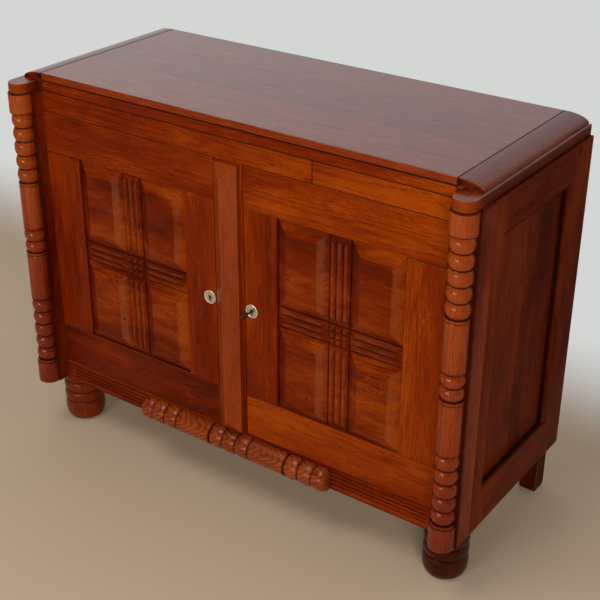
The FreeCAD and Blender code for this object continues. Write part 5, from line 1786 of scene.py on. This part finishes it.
@dataclass
class Lock:
    """The lock of one door: keyhole plate, case with its screws, bolt and pivots, and the right key."""

    side: Side
    hole: float = 0.0027
    slot_half: float = 0.0017
    slot_drop: float = 0.0100
    rim: float = 0.0032
    dish: float = 0.0008
    nail_circle: float = 0.0118
    bow_wall: float = 0.004
    bow_length: float = 0.024
    bow_height: float = 0.017
    bow_half: float = 0.0018
    plate_points: int = 144
    pin_turns: Range = (8.0, 172.0)
    pin_radius: float = 0.0014
    pin_rise: float = 0.0004
    screw_radius: float = 0.0026
    screw_inset: float = 0.005
    screw_slot: float = 0.0006
    shank_radius: float = 0.0026
    collar_width: float = 0.002
    bit_half: float = 0.0012
    bit_length: float = 0.005

    def build(self) -> None:
        """Builds the plate and the key and dresses the metal nodes."""
        self._plate()
        for name, finish in (("lock_case", FINISH.steel), ("bolt", FINISH.steel), ("pivots", FINISH.brass)):
            FINISH.dress_metal(f"{self.side.door}_{name}", finish)
        self._case_screws()
        if self.side is Side.RIGHT:
            self._key()

    def _plate(self) -> None:
        """The round plate: from the keyhole's outline out to the rim, each way round.

        In a direction the keyhole reaches as far as its round hole, or along the slot to where the slot's
        side is met, whichever is more. The rim stands up in a rounded bead round a dished face.
        """
        body = self.side.door
        node = f"{body}_escutcheon"
        limits = Limits.of(node)
        centre = limits.middle
        outer = (limits.high[0] - limits.low[0]) / 2.0
        front, back = limits.low[1], limits.high[1]
        angle = np.linspace(-math.pi, math.pi, self.plate_points, endpoint=False)
        down, across = -np.sin(angle), np.abs(np.cos(angle))
        slot = np.where(down > 0.0, np.minimum(self.slot_half / np.maximum(across, 1e-6),
                                               self.slot_drop / np.maximum(down, 1e-6)), 0.0)
        inner = np.maximum(self.hole, slot)
        bead = np.linspace(0.0, math.pi, 11)
        rim_in = outer - self.rim
        dished = front + self.dish
        face = inner + (rim_in - inner) * np.array([[0.0], [0.0], [0.04], [0.5], [0.97]])
        rim = rim_in + self.rim / 2.0 - self.rim / 2.0 * np.cos(bead)
        radius = np.concatenate([face, np.append(rim, outer)[:, None] + 0.0 * angle])
        level = np.concatenate([
            [back, dished + 0.0002, dished, dished, dished],
            dished + (front - dished) * np.sin(bead), [back]])
        level[-2] = front + 0.0009
        ring = Axis.Y.placed(level[:, None], centre[0] + radius * np.cos(angle),
                             centre[2] + radius * np.sin(angle))
        # Darkened by the keyhole and the rim's inner foot as dirt and painted shade; the rim's bead is
        # brightened, partly real polish and partly a painted highlight.
        soil = np.concatenate([[1.0, 1.0, 0.5, 0.0, 0.2], 0.3 * np.cos(bead).clip(0.0), [0.0]])
        worn = np.concatenate([np.zeros(5), np.sin(bead), [0.0]])
        shell = Shell(f"{body}_keyhole_plate").add_loop(ring, soil, worn)
        for turn in np.radians(self.pin_turns):
            x, z = centre[[0, 2]] + self.nail_circle * np.array([math.cos(turn), math.sin(turn)])
            shell.add_rings(self._pin_head(x, z, dished))
        shell.build(FINISH.nickel, node, body=body, slot=Slot.NICKEL, crease=40.0)

    def _pin_head(self, x: float, z: float, seat: float) -> Array:
        """A low domed head that looks to the front: its rise is the root of one less its radius squared.

        Args:
            x: Its middle across the door.
            z: Its middle up the door.
            seat: Where the face that it sits on lies.

        Returns:
            Its rings.
        """
        radius = self.pin_radius * np.array([1.0, 1.0, 0.92, 0.75, 0.5, 0.22])[:, None]
        level = self.pin_rise * np.array([-0.3, 0.0, 0.39, 0.66, 0.87, 0.98])[:, None]
        angle = np.linspace(-math.pi, math.pi, 20, endpoint=False)
        return Axis.Y.placed(seat - level, x + radius * np.cos(angle), z + radius * np.sin(angle))

    def _case_screws(self) -> None:
        """Four slotted screw heads on the back of the lock case."""
        body = self.side.door
        limits = Limits.of(f"{body}_lock_case")
        seat = limits.high[1]
        shell = Shell(f"{body}_case_screws")
        angle = np.linspace(-math.pi, math.pi, 48, endpoint=False)
        share = np.array([1.0, 1.0, 0.9, 0.72, 0.5, 0.3, 0.12])
        lift = np.array([-0.0003, 0.0002, 0.0006, 0.0008, 0.0009, 0.0009, 0.0009])
        around = self.screw_radius * share[:, None] * np.stack([np.cos(angle), np.sin(angle)])[:, None]
        low, high = limits.low + self.screw_inset, limits.high - self.screw_inset
        spots = [(x, z) for x in (low[0], high[0]) for z in (low[2], high[2])]
        for index, (x, z) in enumerate(spots):
            turn = 0.5 + 0.9 * index
            across = around[0] * math.sin(turn) - around[1] * math.cos(turn)
            slot = self.screw_slot * smooth_step(0.0005, 0.0003, np.abs(across)) * (lift[:, None] > 0.0)
            shell.add_rings(Axis.Y.placed(seat + lift[:, None] - slot, x + around[0], z + around[1]))
        shell.build(FINISH.iron, body=body, slot=Slot.STEEL)

    def _key(self) -> None:
        """The key: a stepped shank, a bit, and an oval bow of round section."""
        limits = Limits.of("key")
        plate = Limits.of("right_door_escutcheon")
        x, z = plate.middle[0], plate.middle[2]
        bow_centre = limits.low[1] + self.bow_length / 2.0
        shank_front = limits.low[1] + self.bow_length - self.bow_wall / 2.0
        tip = limits.high[1]
        collar = plate.low[1] - 0.0004
        made = Profile()
        made.plain(shank_front, collar - self.collar_width, self.shank_radius, 0.0004)
        made.bead(collar - self.collar_width, collar, 0.0030, 0.0042, 4.0, 12)
        made.plain(collar, tip, self.shank_radius, 0.0006)
        shell = Shell("iron_key").add_rings(made.rings(Axis.Y, x, z, count=28).rings)
        turn = np.linspace(0.0, 2.0 * math.pi, 48, endpoint=False)[:, None]
        around = np.linspace(0.0, 2.0 * math.pi, 16, endpoint=False)[None]
        wall = self.bow_wall / 2.0
        half_y, half_z = self.bow_length / 2.0 - wall, self.bow_height / 2.0 - wall
        out = wall * np.cos(around)
        shell.add_loop(Axis.Y.placed(
            bow_centre + (half_y + out) * np.cos(turn), x + self.bow_half * np.sin(around),
            z + (half_z + out) * np.sin(turn)))
        bit = Limits(np.array([x - self.bit_half, tip - self.bit_length, limits.low[2]]),
                     np.array([x + self.bit_half, tip, z]))
        shell.add_rings(planed_board(bit, Axis.Z, 0.0003).rings)
        shell.build(FINISH.iron, "key", body="key", slot=Slot.IRON)


def bearing(azimuth: float, elevation: float) -> Array:
    """Direction from the cabinet, so many degrees to the right of straight ahead and so many up."""
    a, e = math.radians(azimuth), math.radians(elevation)
    return np.array([math.sin(a) * math.cos(e), -math.cos(a) * math.cos(e), math.sin(e)])


def aimed(place: Array, away: Array, roll: float = 0.0) -> Matrix:
    """Place and turn of a light or a camera, with its back to a direction.

    Args:
        place: Where it stands.
        away: The direction that its back looks in.
        roll: Degrees that its right side is lifted by.

    Returns:
        Its matrix.
    """
    level = np.cross([0.0, 0.0, 1.0], away)
    level = level / np.linalg.norm(level)
    r = math.radians(roll)
    right = math.cos(r) * level + math.sin(r) * np.cross(away, level)
    turn = np.stack([right, np.cross(away, right), away], 1)
    return Matrix.Translation(place) @ Matrix(turn.tolist()).to_4x4()


@dataclass(frozen=True)
class SoftLight:
    """One rectangular studio light, placed by its bearing from the cabinet."""

    name: str
    azimuth: float
    elevation: float
    distance: float
    size: Range
    power: float
    colour: Colour = (1.0, 0.97, 0.93)
    mirrored: bool = True

    def build(self, target: Array) -> None:
        """Adds the light, facing a target.

        Args:
            target: The point it looks at.
        """
        away = bearing(self.azimuth, self.elevation)
        lamp = bpy.data.lights.new(self.name, "AREA")
        lamp.shape = "RECTANGLE"
        lamp.size, lamp.size_y = self.size
        lamp.energy = self.power
        lamp.color = self.colour
        made = new_object(self.name, lamp)
        made.matrix_world = aimed(target + away * self.distance, away)
        made.visible_camera = False
        made.visible_glossy = self.mirrored


@dataclass
class Stage:
    """Plain pale floor, soft lights, pale surroundings behind the cabinet and the camera."""

    floor_colour: Colour = (0.57, 0.44, 0.31)
    floor_fade: Range = (0.45, 1.1)
    floor_shade: Colour = (0.36, 0.28, 0.20)
    backdrop: Colour = (0.66, 0.67, 0.66)
    floor_half: float = 14.0
    front_level: float = 0.10
    back_level: float = 0.52
    room_tint: Colour = (0.97, 0.985, 1.0)
    room_tilt: float = 0.25
    room_rise: Range = (-0.15, 0.55)
    room_floor: Range = (-0.35, -0.05)
    mirrored_left: Range = (-0.28, -0.72)
    near_ahead: Range = (-0.05, -0.30)
    near_below: Range = (-0.05, -0.20)
    target: Tuple[float, float, float] = (0.0, 0.0, 0.5)
    floor_cloud: float = 1.04
    camera_place: Tuple[float, float, float] = (1.5485, -2.11995, 1.8343)
    camera_azimuth: float = 35.308
    camera_elevation: float = 27.729
    camera_roll: float = 0.239
    camera_lens: float = 72.52
    lights: Tuple[SoftLight, ...] = (
        SoftLight("front_light", -2.0, 18.0, 5.0, (1.5, 1.4), 38.0, mirrored=False),
        SoftLight("right_light", 42.0, 20.0, 5.0, (1.4, 1.4), 82.0, mirrored=False),
        SoftLight("upper_light", -20.0, 62.0, 4.5, (2.0, 2.0), 62.0),
        SoftLight("low_light", -4.0, 4.0, 4.5, (2.6, 0.6), 38.0),
    )

    def build(self) -> None:
        """Builds the floor, the lights, the surroundings and the camera."""
        self._floor()
        for light in self.lights:
            light.build(np.array(self.target))
        self._surroundings()
        self._camera()
        bpy.context.scene.view_settings.view_transform = "Standard"

    def _floor(self) -> None:
        """A wide flat floor."""
        half = self.floor_half
        corners = [(*corner, 0.0) for corner in rectangle((-half, -half), (half, half))]
        mesh = bpy.data.meshes.new("floor")
        mesh.from_pydata(corners, [], [(0, 1, 2, 3)])
        material, graph = new_graph("floor")
        place = graph.node("ShaderNodeTexCoord", output="Object")
        cloud = graph.noise(place, Pattern.FLOOR)
        pale = tuple(self.floor_cloud * part for part in self.floor_colour)
        _, ahead, _ = graph.split(place)
        hidden = graph.seen_rays(1.0) * graph.rise(ahead, *self.floor_fade)
        graph.surface({"Base Color": graph.mixed(cloud, self.floor_colour, pale), "Roughness": 0.9,
                       "Specular IOR Level": 0.1, "Alpha": 1.0 - hidden})
        mesh.materials.append(material)
        new_object("floor", mesh)

    def _surroundings(self) -> None:
        """Pale surroundings behind the cabinet that fall to a dim room in front of it."""
        world = bpy.data.worlds.new("studio")
        world.use_nodes = True
        bpy.context.scene.world = world
        graph = Graph(world.node_tree)
        across, ahead, up = graph.split(graph.node("ShaderNodeTexCoord", output="Generated"))
        share = graph.rise(ahead + up * self.room_tilt, *self.room_rise) * graph.rise(up, *self.room_floor)
        dim, bright, paper, nearer = [
            graph.node("ShaderNodeBackground", inputs={"Color": (*colour, 1.0), "Strength": level})
            for colour, level in ((self.room_tint, self.front_level), (self.room_tint, self.back_level),
                                  (self.backdrop, 1.0), (self.floor_shade, 1.0))]
        near = graph.rise(ahead, *self.near_ahead) * graph.rise(up, *self.near_below)
        seen = graph.node("ShaderNodeMixShader", inputs={0: near, 1: paper, 2: nearer})
        room = graph.node("ShaderNodeMixShader", inputs={0: share, 1: dim, 2: bright})
        shown = graph.seen_rays(share * graph.rise(across, *self.mirrored_left))
        shader = graph.node("ShaderNodeMixShader", inputs={0: shown, 1: room, 2: seen})
        graph.node("ShaderNodeOutputWorld", inputs={"Surface": shader})

    def _camera(self) -> None:
        """The camera at the photograph's place, turned by its azimuth, elevation and small roll."""
        data = bpy.data.cameras.new("camera")
        data.lens = self.camera_lens
        camera = new_object("camera", data)
        away = bearing(self.camera_azimuth, self.camera_elevation)
        camera.matrix_world = aimed(self.camera_place, away, self.camera_roll)
        bpy.context.scene.camera = camera


def main() -> None:
    """Builds the stage and the cabinet's sub-assemblies in order."""
    logging.basicConfig(level=logging.INFO, format="%(name)s: %(message)s")
    # The door boards' tones and fades are partly the wood's own tone and partly painted light, lighter and
    # darker across and up the doors as the light falls.
    left = {"top_rail": (0.05, 0.5), "bottom_rail": (-1.1, 1.3), "hinge_stile": (-0.05, 0.2),
            "lock_stile": (0.15, 0.9), "panel": (0.0, 0.0)}
    right = {"top_rail": (0.05, 0.9), "bottom_rail": (0.25, 0.0), "hinge_stile": (0.25, 0.6),
             "lock_stile": (0.05, 0.6), "panel": (0.0, -0.9)}
    right_knots = ((0.1676, 0.647, 0.004), (0.2177, 0.3594, 0.0035))
    for piece in (Stage(), Top(), FrontFrame(), Columns(), PlinthMoulding(), Feet(), SideFrame(),
                  BackAndInside(), Door(Side.LEFT, left, knots=((-0.3412, 0.3849, 0.004),)),
                  Door(Side.RIGHT, right, knots=right_knots), Lock(Side.LEFT), Lock(Side.RIGHT)):
        piece.build()


if __name__ == "__main__":
    main()
